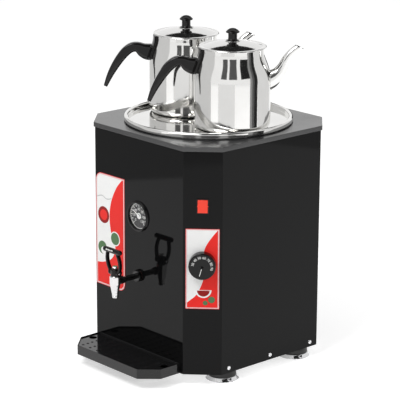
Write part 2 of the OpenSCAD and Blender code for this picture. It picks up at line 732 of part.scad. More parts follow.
// What a square corner loses when it is rounded about the centre c
module corner_cut(corner, c) difference() {
    translate([min(corner[0], c[0]), min(corner[1], c[1])]) square(label_corner_r);
    translate(c) circle(r = label_corner_r);
}
module control_label() color("red") on_chamfer() difference() {
    translate([chamfer_x, -control_w / 2, control_z]) cube([label_t, control_w, control_h]);
    translate([0, 0, knob_z]) rod_x(bushing_r() + 0.8, chamfer_x - eps, chamfer_x + label_t + eps);
}

// ---- Supply ----

block_w = 48;
block_d = 20;
block_h = 18;
// Ceramic block on the base pan with three wire ways and their screw wells
module terminal_block() color("white") translate([gland_x - 60, half_w - 62, foot_h + pan_t]) difference() {
    cube([block_w, block_d, block_h]);
    for (k = [0 : 2]) translate([block_w * (k + 0.5) / 3, 0, 0]) {
        translate([0, -eps, 6]) rotate([-90, 0, 0]) cylinder(r = 2.6, h = block_d + 2 * eps);
        translate([0, block_d / 2, 6]) cylinder(r = 2.2, h = block_h);
    }
}
gland_out = 26;
module cable_gland() color("black") on_back() translate([0, -gland_x, gland_z]) difference() {
    union() {
        rod_x(gland_r, half_w - 16, half_w + 6);
        hex_x(gland_r + 2.5, half_w, half_w + 6);
        turned_x() polygon(concat(
            [[0, half_w + 5], [gland_r + 1, half_w + 5], [gland_r + 1, half_w + gland_out - 8]],
            arc([gland_r - 3, half_w + gland_out - 8], 4, 0, 60, 5),
            [[gland_bore_r + 1.6, half_w + gland_out], [0, half_w + gland_out]]
        ));
    }
    rod_x(gland_bore_r, half_w - 17, half_w + gland_out + 1);
}
module gland_nut() color("black") on_back() translate([0, -gland_x, gland_z]) difference() {
    hex_x(gland_r + 2.5, side_x - 5, side_x);
    rod_x(gland_r + hole_fit, side_x - 6, side_x + 1);
}

// ---- Tap ----

nut_h = 8;
gasket_h = 1.5;
socket_d = 3;
// Threaded shank through panel and tank, and the pipe that carries the spout
module tap_shank() color("black") on_front() translate([0, 0, tap_z]) difference() {
    union() {
        rod_x(shank_r, tank_r - 16, half_w + nut_h);
        rod_x(pipe_r, half_w + nut_h - 1, nozzle_x - chamber_r - 0.4);
        hex_x(pipe_r + 2, nozzle_x - nozzle_r - 9, nozzle_x - nozzle_r - 3);
    }
    rod_x(way_r, tank_r - 17, nozzle_x);
}
module tap_gaskets() color("firebrick") on_front() translate([0, 0, tap_z]) for (x = [half_w, tank_r - 5 - gasket_h])
    difference() {
        rod_x(tap_nut_r - 1, x, x + gasket_h);
        rod_x(shank_r + hole_fit, x - eps, x + gasket_h + eps);
    }
// Round-cornered nut that clamps the tap against the front panel
module tap_flange_nut() color("black") on_front() translate([0, 0, tap_z]) difference() {
    turned_x() polygon(concat(
        [[shank_r + hole_fit, half_w + gasket_h], [tap_nut_r, half_w + gasket_h]],
        arc([tap_nut_r - 1.5, half_w + nut_h - 1.5], 1.5, 0, 90, 5),
        [[shank_r + hole_fit, half_w + nut_h]]
    ));
    for (a = [0 : 60 : 300]) rotate([a, 0, 0]) translate([half_w + 3.5, -20, tap_nut_r - 0.9]) cube([9, 40, 5]);
}
module tap_back_nut() color("silver") on_front() translate([0, 0, tap_z]) difference() {
    hex_x(shank_r + 3.5, tank_r - 15, tank_r - 5 - gasket_h);
    rod_x(shank_r + hole_fit, tank_r - 16, tank_r);
}
// Turned spout: a valve chamber above, a seat, and a tapered outlet below
module tap_nozzle() color("gainsboro") on_front() translate([nozzle_x, 0, 0]) difference() {
    rotate_extrude() polygon(concat(
        [[0, nozzle_z], [nozzle_tip_r - 0.5, nozzle_z], [nozzle_tip_r, nozzle_z + 0.8], [nozzle_tip_r, nozzle_z + 5]],
        [[nozzle_r, tap_z - 3], [nozzle_r, nozzle_top_z - 1.5]],
        [[nozzle_r - 1, nozzle_top_z], [0, nozzle_top_z]]
    ));
    translate([0, 0, seat_z]) cylinder(r = chamber_r, h = 60);
    translate([0, 0, nozzle_z - eps]) cylinder(r = nozzle_tip_r - 1.7, h = 60);
    translate([-nozzle_r - 1, 0, tap_z]) rod_x(pipe_r + hole_fit, 0, nozzle_r - 3);
}
bonnet_plug = 6;
// Black cap that closes the valve chamber and carries the lever's pin
module tap_bonnet() color("black") on_front() translate([nozzle_x, 0, 0]) difference() {
    rotate_extrude() polygon(concat(
        [[stem_r + run, nozzle_top_z - bonnet_plug], [chamber_r - 0.2, nozzle_top_z - bonnet_plug]],
        [[chamber_r - 0.2, nozzle_top_z], [bonnet_r, nozzle_top_z]],
        arc([bonnet_r - 2.5, nozzle_top_z + bonnet_h - 2.5], 2.5, 0, 90, 6),
        [[stem_r + run, nozzle_top_z + bonnet_h]]
    ));
    translate([0, -20, pivot_z]) rotate([-90, 0, 0]) cylinder(r = pin_r + run, h = 40);
}
collar_z = seat_z + 3.5;
// Stem with a spring collar, a slot for the lever's pin and a head above the bonnet
module tap_stem() color("silver") on_front() translate([nozzle_x, 0, 0]) difference() {
    union() {
        translate([0, 0, collar_z]) cylinder(r = stem_r, h = stem_top_z - collar_z);
        translate([0, 0, collar_z]) cylinder(r = chamber_r - 0.6, h = 1.6);
        translate([0, 0, stem_top_z - 3]) cylinder(r = stem_r + 2.5, h = 3);
    }
    translate([-pin_r - 0.2, -10, pivot_z - pin_r - 0.2 - stem_lift])
        cube([2 * pin_r + 0.4, 20, 2 * pin_r + 0.4 + stem_lift]);
}
module seat_washer() color("firebrick") on_front() translate([nozzle_x, 0, seat_z])
    cylinder(r = chamber_r - 0.8, h = collar_z - seat_z);
spring_turns = 4;
spring_wire = 0.5;
spring_mid_r = chamber_r - 1.8;
spring_z0 = collar_z + 1.6 + spring_wire;
spring_z1 = nozzle_top_z - bonnet_plug - spring_wire;
// Closing spring between the stem's collar and the bonnet
module tap_spring() color("silver") on_front() translate([nozzle_x, 0, 0]) {
    steps = spring_turns * 14;
    sides = 6;
    points = [
        for (k = [0 : steps], j = [0 : sides - 1])
        let (
            a = 360 * spring_turns * k / steps,
            b = 360 * j / sides,
            r = spring_mid_r + spring_wire * cos(b),
            z = spring_z0 + (spring_z1 - spring_z0) * k / steps + spring_wire * sin(b)
        )
        [r * cos(a), r * sin(a), z]
    ];
    faces = [
        for (k = [0 : steps - 1], j = [0 : sides - 1])
        let (a = k * sides + j, b = k * sides + (j + 1) % sides)
        each [[a, b + sides, b], [a, a + sides, b + sides]]
    ];
    polyhedron(points, concat(
        faces, [[for (j = [0 : sides - 1]) j], [for (j = [sides - 1 : -1 : 0]) steps * sides + j]]
    ));
}
module tap_pin() color("silver") on_front() translate([nozzle_x, 0, pivot_z]) rotate([-90, 0, 0]) {
    translate([0, 0, -arm_in - arm_t - eps]) cylinder(r = pin_r, h = 2 * (arm_in + arm_t + eps));
    for (m = [0, 1]) mirror([0, 0, m]) translate([0, 0, arm_in + arm_t])
        cylinder(r1 = pin_head_r, r2 = pin_head_r - 0.6, h = 1.2);
}
pin_head_r = 2.8;
arm_bow_r = 43.5;
arm_bow_deg = 61;
arm_start_deg = -34.6;
// Yoke lever: two bowed arms from the pin up to a cross grip
module tap_lever() color("black") on_front() translate([nozzle_x, 0, pivot_z]) rotate([0, lever_lean, 0]) {
    for (m = [0, 1]) mirror([0, m, 0]) difference() {
        union() {
            translate([0, arm_in, 0]) rotate([-90, 0, 0]) cylinder(r = 7, h = arm_t);
            intersection() {
                translate([0, arm_in + arm_t / 2, 0]) lever_arm();
                translate([-20, 0, 0]) cube([40, 60, lever_h]);
            }
        }
        translate([0, arm_in - 1, 0]) rotate([-90, 0, 0]) cylinder(r = pin_r + run, h = arm_t + 2);
        translate([0, arm_in + arm_t, 0]) rotate([-90, 0, 0]) cylinder(r = pin_head_r + fit, h = arm_t);
    }
    translate([0, -grip_w / 2 + grip_r, lever_h]) rotate([-90, 0, 0]) cylinder(r = grip_r, h = grip_w - 2 * grip_r);
    for (y = [-grip_w / 2 + grip_r, grip_w / 2 - grip_r]) translate([0, y, lever_h]) sphere(r = grip_r);
}
// One arm, bowed outwards in the YZ plane, with a round-edged flat section
module lever_arm() rotate([90, 0, 90]) rotate([0, 0, arm_start_deg])
    translate([-arm_bow_r, 0, 0]) rotate_extrude(angle = arm_bow_deg) translate([arm_bow_r, 0]) {
        square([arm_t, arm_d - arm_t], center = true);
        for (y = [-1, 1]) translate([0, y * (arm_d - arm_t) / 2]) circle(r = arm_t / 2);
    }

// ---- Drip tray ----

// Outline of the tray, moved in by d
function tray_outline(d) =
    let (
        b = norm([tray_cut_x, tray_cut_y]),
        kx = d * (b - tray_cut_x) / tray_cut_y,
        ky = d * (b - tray_cut_y) / tray_cut_x
    )
    [
        [-tray_half + d, tray_y0 - d], [-tray_half + d, tray_y1 + tray_cut_y + ky],
        [-tray_half + tray_cut_x + kx, tray_y1 + d], [tray_half - tray_cut_x - kx, tray_y1 + d],
        [tray_half - d, tray_y1 + tray_cut_y + ky], [tray_half - d, tray_y0 - d]
    ];
// Two bars under the base pan that carry the tray
module tray_runners() color("silver") for (x = [-runner_x, runner_x])
    translate([x - 10, tray_y1 + 24, foot_h - runner_t]) cube([20, tray_out + 60, runner_t]);
module drip_tray() color("black") difference() {
    slab(tray_outline(0), tray_z0, tray_z0 + tray_h);
    slab(tray_outline(tray_t), tray_z0 + tray_t, tray_z0 + tray_h + eps);
}
// Perforated plate on its own folded legs, with a finger hole at each side
module drip_grate() color("black") difference() {
    slab(tray_outline(tray_t + fit), tray_z0 + tray_t, grate_z);
    slab(tray_outline(2 * tray_t + fit), tray_z0, grate_z - tray_t);
    for (k = [-4 : 4], j = [0 : 5])
        translate([k * hole_pitch_x, tray_y1 + 14 + j * hole_pitch_y, grate_z - tray_t - eps])
            cylinder(r = hole_r, h = tray_t + 2 * eps, $fn = 24);
    for (x = [-1, 1]) translate([x * (tray_half - finger_r - 6), -half_w - finger_out, grate_z - tray_t - eps])
        cylinder(r = finger_r, h = tray_t + 2 * eps);
}

// ---- Round cover ----

seam = 0.05;
// Flat plate of the cover, with two collared steam holes
module cover() color("silver") difference() {
    union() {
        translate([0, 0, cover_z]) cylinder(r = rim_mid_r - rim_w / 2 - seam, h = cover_t, $fn = 128);
        at_seats() translate([0, 0, cover_z]) cylinder(r = seat_r + cover_t, h = cover_t + collar_h);
    }
    at_seats() translate([0, 0, cover_z - eps]) cylinder(r = seat_r, h = collar_h + cover_t + 2 * eps);
}
// Rolled rim of the cover, welded round its plate
module cover_rim() color("silver") rotate_extrude($fn = 128) polygon(concat(
    [[rim_mid_r - rim_w / 2, cover_z], [rim_mid_r - rim_w / 2 + cover_t, cover_z]],
    arc([rim_mid_r, rim_z1 - rim_w / 2], rim_w / 2 - cover_t, 180, 0, 12),
    [[cover_r - cover_t, rim_z0], [cover_r, rim_z0]],
    arc([rim_mid_r, rim_z1 - rim_w / 2], rim_w / 2, 0, 180, 12)
));
// Ring under the cover that centres it in the tank's mouth
module cover_spigot() color("silver") rotate_extrude($fn = 128)
    translate([spigot_r - cover_t, spigot_z]) square([cover_t, cover_z - spigot_z]);
module at_seats() for (s = [-1, 1]) translate([s * seat_at[0], s * seat_at[1], 0]) children();

// ---- Teapots: drawn about their own axis, spout along +X, base at z = 0 ----

module at_pot(side) translate([side * seat_at[0], side * seat_at[1], pot_z]) rotate([0, 0, pot_turn]) children();

// Radius of the pot's outside at height z between belly and mouth
function shoulder(z) =
    let (s = (z - belly_high) / (pot_h - 7 - belly_high))
    z >= pot_h - 7 ? mouth_r : mouth_r + (belly_r - mouth_r) * (0.5 + 0.5 * cos(180 * pow(s, 1.3)));
// Side of the pot from the flat base to the mouth, moved in by d
function pot_side(d) = concat(
    [
        for (i = [0 : 9])
        let (a = 90 * i / 9)
        [base_r + (belly_r - base_r - d) * sin(a), belly_low - (belly_low - d) * cos(a)]
    ],
    [for (i = [0 : 12]) let (z = belly_high + (pot_h - belly_high) * i / 12) [shoulder(z) - d, z]]
);
strainer_r = 2.6;
strainer_pitch = 8;
strainer_at = concat([[0, 0]], [for (a = [0 : 60 : 300]) strainer_pitch * [sin(a), cos(a)]]);
module teapot() color("silver") difference() {
    rotate_extrude($fn = 96) polygon(concat(
        [[0, recess_h], [recess_r - 1.5, recess_h], [recess_r, 0]],
        pot_side(0),
        [[mouth_r + 1.2, pot_h + 0.6], [mouth_r, pot_h + 1.2]],
        reversed(pot_side(pot_t)),
        [[recess_r + 0.5, pot_t], [recess_r - 1, recess_h + pot_t], [0, recess_h + pot_t]]
    ));
    for (p = strainer_at) translate([0, p[0], belly_high + p[1]]) rod_x(strainer_r, belly_r - 8, belly_r + 4);
}
// The pot's outside as a solid, grown by d, for what is fitted against it
module pot_block(d) rotate_extrude($fn = 96) polygon(concat(
    [[0, 0], [base_r + d, 0]], [for (p = pot_side(0)) p + [d, 0]], [[0, pot_h]]
));

spout_path = [
    [62, 90, 19.5, 17], [82, 103, 19, 15], [95.5, 114.5, 14.5, 12.5], [104.5, 128, 11.3, 10.6],
    [112, 143, 10, 9.8], [123, 157.5, 9.1, 9], [138.7, 170.5, 8.7, 8.7], [150, 179, 8.7, 8.7]
];
spout_cut = 67;
spout_mouth = [138.7, 170.5];
// Swan-neck spout, wide at the belly, cut slanting at its mouth
module spout() color("silver") difference() {
    loft(spout_path, 23, 18);
    loft([for (s = spout_path) [s[0], s[1], s[2] - spout_t, s[3] - spout_t]], 23, 18);
    loft_end(spout_mouth);
    pot_block(0.1);
}
module loft_end(at) translate([at[0], 0, at[1]]) rotate([0, -spout_cut, 0]) translate([0, -20, -20]) cube([30, 40, 40]);

handle_path = [
    [-60, 129, 16, 9], [-80, 128, 17.5, 9], [-92, 131.5, 15.5, 9], [-105, 138.3, 10.4, 9],
    [-118, 136.6, 9.8, 9], [-131, 127.2, 10, 9], [-143.5, 112.5, 9.5, 8.6], [-155, 95, 8.4, 7.6],
    [-165.5, 76, 6.6, 6.4], [-174.5, 54, 4.2, 4.6]
];
// Bakelite handle: a saddle that hugs the neck, a deep web, a finger arch and a tapering tail
module handle() color("black") difference() {
    union() {
        loft([for (s = handle_path) [s[0], s[1], s[2], s[3] * handle_w / 18]], 26, 20, 0.57);
        rotate([0, 0, 180 - saddle_half]) rotate_extrude(angle = 2 * saddle_half, $fn = 96) polygon(concat(
            [[mouth_r - saddle_t, saddle_top], [mouth_r - saddle_t, saddle_z]],
            [for (i = [0 : 8]) let (z = saddle_z + (saddle_top - saddle_z) * i / 8) [shoulder(z) + saddle_t, z]]
        ));
    }
    pot_block(0.15);
}
saddle_top = pot_h - saddle_drop;

lid_t = 0.8;
lid_z = pot_h + 1.2 + 0.2;
neck_fit = 2;
// Domed lid with a rolled edge and a ring that drops into the mouth
module lid() color("silver") {
    dome_r = lid_r - 9;
    sphere_r = (dome_r * dome_r + (lid_rise - 2) * (lid_rise - 2)) / (2 * (lid_rise - 2));
    dome_c = lid_z + lid_rise - sphere_r;
    dome_a = asin(dome_r / sphere_r);
    difference() {
        rotate_extrude($fn = 96) polygon(concat(
            [[0, lid_z + lid_rise - lid_t]],
            [for (i = [1 : 10]) let (a = dome_a * i / 10) [0, dome_c] + (sphere_r - lid_t) * [sin(a), cos(a)]],
            [[lid_r - 4, lid_z], [lid_r - 0.8, lid_z], [lid_r, lid_z + 0.8], [lid_r - 0.8, lid_z + 1.8], [lid_r - 4, lid_z + 1.4]],
            [for (i = [10 : -1 : 1]) let (a = dome_a * i / 10) [0, dome_c] + sphere_r * [sin(a), cos(a)]],
            [[0, lid_z + lid_rise]]
        ));
        translate([0, 0, lid_z]) cylinder(r = 2, h = 2 * lid_rise);
    }
    difference() {
        translate([0, 0, lid_z - 8]) cylinder(r = mouth_r - pot_t - neck_fit, h = 9.2, $fn = 96);
        translate([0, 0, lid_z - 9]) cylinder(r = mouth_r - pot_t - neck_fit - lid_t, h = 11.2, $fn = 96);
    }
}
// Bakelite knob: flared foot, waist and mushroom cap, with its screw from below
module lid_knob() color("black") translate([0, 0, lid_z + lid_rise]) {
    rotate_extrude() polygon(concat(
        [[0, 0.1], [12.4, 0.1], [12.8, 0.9], [10.2, 2.6], [8.6, 5.4], [8.6, lid_knob_h - 11]],
        [[lid_knob_r - 0.4, lid_knob_h - 8.6]],
        arc([lid_knob_r - 1.2, lid_knob_h - 7.4], 1.2, -40, 50, 4),
        [[9.5, lid_knob_h - 2.8], [5.5, lid_knob_h - 0.7], [0, lid_knob_h]]
    ));
    translate([0, 0, -lid_t - 3]) cylinder(r = 1.9, h = 4 + lid_t);
    translate([0, 0, -lid_t - 3]) cylinder(r = 4, h = 2.6);
}

module teapot_rear() at_pot(-1) teapot();
module spout_rear() at_pot(-1) spout();
module handle_rear() at_pot(-1) handle();
module lid_rear() at_pot(-1) lid();
module lid_knob_rear() at_pot(-1) lid_knob();
module teapot_front() at_pot(1) teapot();
module spout_front() at_pot(1) spout();
module handle_front() at_pot(1) handle();
module lid_front() at_pot(1) lid();
module lid_knob_front() at_pot(1) lid_knob();

// ---- One line per node ----

base_pan();
front_wrap();
side_panel_left();
side_panel_right();
rear_wrap();
top_plate();
top_brackets();
panel_screws();
foot_cups();
foot_dishes();
foot_studs();
foot_nuts();
tank();
insulation();
heating_element();
heater_gasket();
heater_bolts();
dry_boil_cutout();
rocker_housing();
rocker();
thermostat_body();
thermostat_shaft();
thermostat_knob();
thermostat_bulb();
gauge_case();
gauge_dial();
gauge_needle();
gauge_glass();
front_label();
control_label();
terminal_block();
cable_gland();
gland_nut();
tap_shank();
tap_gaskets();
tap_flange_nut();
tap_back_nut();
tap_nozzle();
tap_bonnet();
tap_stem();
seat_washer();
tap_spring();
tap_pin();
tap_lever();
tray_runners();
drip_tray();
drip_grate();
cover();
cover_rim();
cover_spigot();
teapot_rear();
spout_rear();
handle_rear();
lid_rear();
lid_knob_rear();
teapot_front();
spout_front();
handle_front();
lid_front();
lid_knob_front();
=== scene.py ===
import bpy
import bmesh
import math
from mathutils import Matrix, Vector


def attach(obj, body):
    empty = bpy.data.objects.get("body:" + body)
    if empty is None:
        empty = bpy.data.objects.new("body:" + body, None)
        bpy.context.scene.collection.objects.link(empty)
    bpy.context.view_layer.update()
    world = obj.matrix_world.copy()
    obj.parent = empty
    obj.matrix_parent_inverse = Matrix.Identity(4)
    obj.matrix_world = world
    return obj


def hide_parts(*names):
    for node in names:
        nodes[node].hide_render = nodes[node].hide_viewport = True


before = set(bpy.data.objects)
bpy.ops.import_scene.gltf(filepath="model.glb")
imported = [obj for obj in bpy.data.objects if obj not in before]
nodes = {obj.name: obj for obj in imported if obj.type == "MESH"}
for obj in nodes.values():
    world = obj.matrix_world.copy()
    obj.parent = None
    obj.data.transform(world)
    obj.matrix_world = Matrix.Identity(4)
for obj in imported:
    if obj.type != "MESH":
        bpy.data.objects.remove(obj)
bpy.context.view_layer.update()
scene = bpy.context.scene
scene.view_settings.view_transform = "Standard"

# -------------------------------------------- Camera
# A long lens from the front right, a little above the worktop, so that the
# front, the control chamfer and the right side all show.

camera_azimuth = math.radians(47.84)
camera_elevation = math.radians(15.83)
camera_roll = math.radians(0.25)
camera_far = 4.232
aim = Vector((0, 0, 0.275))
shift_left, shift_up = 0.0173, 0.0584
focal_pixels, picture_pixels = 1947.8, 400


def new_object(name, data):
    """An object in the scene for a mesh, text, lamp or camera"""
    item = bpy.data.objects.new(name, data)
    scene.collection.objects.link(item)
    return item


camera_back = Vector((
    math.sin(camera_azimuth) * math.cos(camera_elevation),
    -math.cos(camera_azimuth) * math.cos(camera_elevation),
    math.sin(camera_elevation),
))
level_right = Vector((math.cos(camera_azimuth), math.sin(camera_azimuth), 0))
level_up = camera_back.cross(level_right)
camera_right = math.cos(camera_roll) * level_right + math.sin(camera_roll) * level_up
camera_up = -math.sin(camera_roll) * level_right + math.cos(camera_roll) * level_up
camera_data = bpy.data.cameras.new("camera")
camera_data.sensor_width = 36
camera_data.lens = camera_data.sensor_width * focal_pixels / picture_pixels
camera_data.clip_end = 60
camera = new_object("camera", camera_data)
camera_place = aim + camera_far * camera_back - shift_left * camera_right + shift_up * camera_up
camera_turn = Matrix((camera_right, camera_up, camera_back)).transposed().to_4x4()
camera.matrix_world = Matrix.Translation(camera_place) @ camera_turn
scene.camera = camera

# -------------------------------------------- Studio
# White surroundings, two soft lamps and a pale floor. Black, grey and pale cards
# stand round the urn and overhead, seen by reflections only, as flags do in a studio.


def new_node(tree, kind, links=None, **settings):
    """A node with its settings, and a link or a value for each named input"""
    node = tree.nodes.new(kind)
    for key, value in settings.items():
        setattr(node, key, value)
    for socket, source in (links or {}).items():
        if isinstance(source, bpy.types.NodeSocket):
            tree.links.new(source, node.inputs[socket])
        else:
            node.inputs[socket].default_value = source
    return node


def seen_rays(tree):
    """1 for what the camera sees, straight or by mirror and glass, and 0 for the light itself"""
    path = new_node(tree, "ShaderNodeLightPath")
    seen = path.outputs["Is Camera Ray"]
    for way in ("Is Glossy Ray", "Is Transmission Ray"):
        either = new_node(tree, "ShaderNodeMath", {0: seen, 1: path.outputs[way]}, operation="MAXIMUM")
        seen = either.outputs[0]
    return seen


def to_shader(material, socket, source):
    """Links a result to an input of the material's shader"""
    tree = material.node_tree
    tree.links.new(source, tree.nodes["Principled BSDF"].inputs[socket])


def finish(name, color, roughness, **fixed):
    """A material whose shader has the given fixed values"""
    material = bpy.data.materials.new(name)
    material.use_nodes = True
    shader = material.node_tree.nodes["Principled BSDF"]
    shader.inputs["Base Color"].default_value = (*color, 1)
    shader.inputs["Roughness"].default_value = roughness
    for socket, value in fixed.items():
        shader.inputs[socket.replace("_", " ")].default_value = value
    return material


world = bpy.data.worlds.new("studio")
scene.world = world
world.use_nodes = True
sky = world.node_tree
sky.nodes.clear()
light_strength, white_strength = 0.55, 1.0
sky_fill, sky_white = (
    new_node(sky, "ShaderNodeBackground", {"Color": (1, 1, 1, 1), "Strength": strength})
    for strength in (light_strength, white_strength)
)
sky_mix = new_node(sky, "ShaderNodeMixShader", {
    0: seen_rays(sky), 1: sky_fill.outputs[0], 2: sky_white.outputs[0],
})
new_node(sky, "ShaderNodeOutputWorld", {"Surface": sky_mix.outputs[0]})


urn_middle = Vector((0, 0, 0.4))


def soft_lamp(name, azimuth, elevation, distance, size, power):
    """A square area lamp that looks at the middle of the urn"""
    data = bpy.data.lights.new(name, "AREA")
    data.shape = "SQUARE"
    data.size = size
    data.energy = power
    lamp = new_object(name, data)
    a, e = math.radians(azimuth), math.radians(elevation)
    away = Vector((math.sin(a) * math.cos(e), -math.cos(a) * math.cos(e), math.sin(e)))
    lamp.location = urn_middle + distance * away
    lamp.rotation_euler = away.to_track_quat("Z", "Y").to_euler()
    return lamp


soft_lamp("key_lamp", 5, 52, 2.6, 1.2, 34)
soft_lamp("fill_lamp", 110, 38, 3.0, 1.4, 16).visible_glossy = False


def plate_of(name, corners):
    """One flat face through the given corners"""
    mesh = bpy.data.meshes.new(name)
    mesh.from_pydata([tuple(c) for c in corners], [], [tuple(range(len(corners)))])
    return new_object(name, mesh)


floor_half, floor_tone, floor_glow = 9, 0.86, 0.5
floor = plate_of("floor", [
    (floor_half * x, floor_half * y, 0) for x, y in ((-1, -1), (1, -1), (1, 1), (-1, 1))
])
floor_paint = finish(
    "floor_paint", (floor_tone,) * 3, 0.9, Specular_IOR_Level=0.1, Emission_Color=(1, 1, 1, 1),
)
floor_tree = floor_paint.node_tree
floor_shine = new_node(floor_tree, "ShaderNodeMath", {
    0: seen_rays(floor_tree), 1: floor_glow,
}, operation="MULTIPLY")
to_shader(floor_paint, "Emission Strength", floor_shine.outputs[0])
floor.data.materials.append(floor_paint)


def card_paint(name, tone):
    """Matt card that looks equally bright from everywhere"""
    glow = (tone, tone, tone, 1)
    return finish(name, (0, 0, 0), 0.5, Specular_IOR_Level=0, Emission_Color=glow, Emission_Strength=1.0)


card_black = card_paint("card_black", 0.02)
card_dark = card_paint("card_dark", 0.1)
card_grey = card_paint("card_grey", 0.3)
card_pale = card_paint("card_pale", 0.68)
card_silver = card_paint("card_silver", 0.8)
card_white = card_paint("card_white", 0.88)


def standing_card(name, from_deg, to_deg, distance, low, high):
    """A card that stands round the urn, between two angles from the camera"""
    first, last = (camera_azimuth + math.radians(d) for d in (from_deg, to_deg))
    return plate_of(name, [
        (math.sin(a) * distance, -math.cos(a) * distance, z)
        for a, z in ((first, low), (last, low), (last, high), (first, high))
    ])


def overhead_card(name, near, far, half, height):
    """A level card over the urn, between two distances beyond it as the camera sees it"""
    away = Vector((-math.sin(camera_azimuth), math.cos(camera_azimuth), 0))
    return plate_of(name, [
        out * away + side * level_right + Vector((0, 0, height))
        for out, side in ((near, -half), (far, -half), (far, half), (near, half))
    ])


cards = {
    standing_card("card_left", -34, -17, 5.0, 1.3, 4.8): card_dark,
    standing_card("card_middle", -10, 14, 5.0, 1.3, 4.8): card_dark,
    standing_card("card_right", 26, 54, 5.0, 1.3, 4.8): card_black,
    standing_card("card_left_low", -150, -64, 2.2, 0, 2.2): card_pale,
    standing_card("card_middle_low", -40, 8, 2.2, 0, 0.4): card_white,
    standing_card("card_right_low", 79, 140, 2.2, 0, 2.2): card_silver,
    standing_card("card_back_right", 152, 172, 5.0, 0, 1.3): card_black,
    standing_card("card_side_near", 52, 59, 2.0, 0, 2.0): card_grey,
    standing_card("card_side_middle", 59, 66, 2.0, 0, 2.0): card_dark,
    standing_card("card_side_far", 66, 77, 2.0, 0, 2.0): card_black,
    overhead_card("card_overhead", 1.4, 3.4, 4.4, 3): card_black,
    overhead_card("card_ceiling", -5, -0.3, 3.5, 5): card_black,
}
for card, paint in cards.items():
    card.data.materials.append(paint)
    card.visible_camera = False
    card.visible_diffuse = False
    card.visible_shadow = False
    card.visible_transmission = False

# -------------------------------------------- Housing panels
# Folded sheet steel with a glossy black powder coat: the front wrap with both
# front chamfers, two side panels and the rear wrap. Their folds are rounded.

MM = 0.001


def new_group(name, inputs, outputs):
    """An empty shader node group with its sockets, its input node and its output node"""
    group = bpy.data.node_groups.new(name, "ShaderNodeTree")
    for socket, kind, value in inputs:
        item = group.interface.new_socket(name=socket, in_out="INPUT", socket_type=kind)
        if value is not None:
            item.default_value = value
    for socket, kind in outputs:
        group.interface.new_socket(name=socket, in_out="OUTPUT", socket_type=kind)
    return group, group.nodes.new("NodeGroupInput"), group.nodes.new("NodeGroupOutput")


# Fine peel of a sprayed or moulded skin, with broad smears in its gloss
skin_group, skin_in, skin_out = new_group(
    "coated_skin",
    [
        ("Place", "NodeSocketVector", None), ("Peel Scale", "NodeSocketFloat", 900.0),
        ("Smear Scale", "NodeSocketFloat", 9.0), ("Gloss", "NodeSocketFloat", 0.1),
        ("Dull", "NodeSocketFloat", 0.2),
    ],
    [("Roughness", "NodeSocketFloat"), ("Height", "NodeSocketFloat"), ("Dust", "NodeSocketFloat")],
)
skin_peel = new_node(skin_group, "ShaderNodeTexNoise", {
    "Vector": skin_in.outputs["Place"], "Scale": skin_in.outputs["Peel Scale"], "Detail": 2.0,
})
skin_smear = new_node(skin_group, "ShaderNodeTexNoise", {
    "Vector": skin_in.outputs["Place"], "Scale": skin_in.outputs["Smear Scale"], "Detail": 5.0,
    "Roughness": 0.6,
})
skin_rough = new_node(skin_group, "ShaderNodeMapRange", {
    "Value": skin_smear.outputs["Fac"], "From Min": 0.35, "From Max": 0.7,
    "To Min": skin_in.outputs["Gloss"], "To Max": skin_in.outputs["Dull"],
})
skin_speck = new_node(skin_group, "ShaderNodeTexNoise", {
    "Vector": skin_in.outputs["Place"], "Scale": 420.0, "Detail": 1.0,
})
skin_dust = new_node(skin_group, "ShaderNodeMapRange", {
    "Value": skin_speck.outputs["Fac"], "From Min": 0.6, "From Max": 0.85,
})
skin_group.links.new(skin_rough.outputs["Result"], skin_out.inputs["Roughness"])
skin_group.links.new(skin_peel.outputs["Fac"], skin_out.inputs["Height"])
skin_group.links.new(skin_dust.outputs["Result"], skin_out.inputs["Dust"])


def grouped(material, group, **values):
    """Adds a shader group to a material, in the object's own coordinates, for its roughness"""
    tree = material.node_tree
    links = {"Place": new_node(tree, "ShaderNodeTexCoord").outputs["Object"]}
    links.update({socket.replace("_", " "): value for socket, value in values.items()})
    node = new_node(tree, "ShaderNodeGroup", links, node_tree=group)
    to_shader(material, "Roughness", node.outputs["Roughness"])
    return node


def tinted(material, share, color, other):
    """Mixes a second colour into a material"""
    mix = new_node(material.node_tree, "ShaderNodeMix", {
        0: share, 6: (*color, 1), 7: (*other, 1),
    }, data_type="RGBA")
    to_shader(material, "Base Color", mix.outputs[2])


def embossed(material, height, strength, distance):
    """Gives a material its relief"""
    relief = new_node(material.node_tree, "ShaderNodeBump", {
        "Height": height, "Strength": strength, "Distance": distance,
    })
    to_shader(material, "Normal", relief.outputs["Normal"])


def coated(name, color, gloss, dull, peel=900.0, bump=0.05, speck=None, smear=9.0, **fixed):
    """A coat or moulding with a fine peel, smears in its gloss and small specks"""
    material = finish(name, color, gloss, **fixed)
    skin = grouped(material, skin_group, Peel_Scale=peel, Smear_Scale=smear, Gloss=gloss, Dull=dull)
    if speck:
        tinted(material, skin.outputs["Dust"], color, speck)
    embossed(material, skin.outputs["Height"], bump, 0.0004)
    return material


def paint(mesh, material):
    """Gives a mesh one material"""
    mesh.materials.clear()
    mesh.materials.append(material)


def dress(material, *names):
    """Gives CAD nodes a material"""
    for name in names:
        paint(nodes[name].data, material)


def applied(piece):
    """Turns a piece's modifiers into its plain mesh"""
    graph = bpy.context.evaluated_depsgraph_get()
    mesh = bpy.data.meshes.new_from_object(piece.evaluated_get(graph))
    piece.modifiers.clear()
    piece.data = mesh
    return piece


def shaded(piece, angle=35):
    """Smooth shading, with flat faces kept flat beside rounded edges"""
    for face in piece.data.polygons:
        face.use_smooth = True
    piece.data.set_sharp_from_angle(angle=math.radians(angle))
    weight = piece.modifiers.new("weight", "WEIGHTED_NORMAL")
    weight.keep_sharp = True
    weight.weight = 100
    return applied(piece)


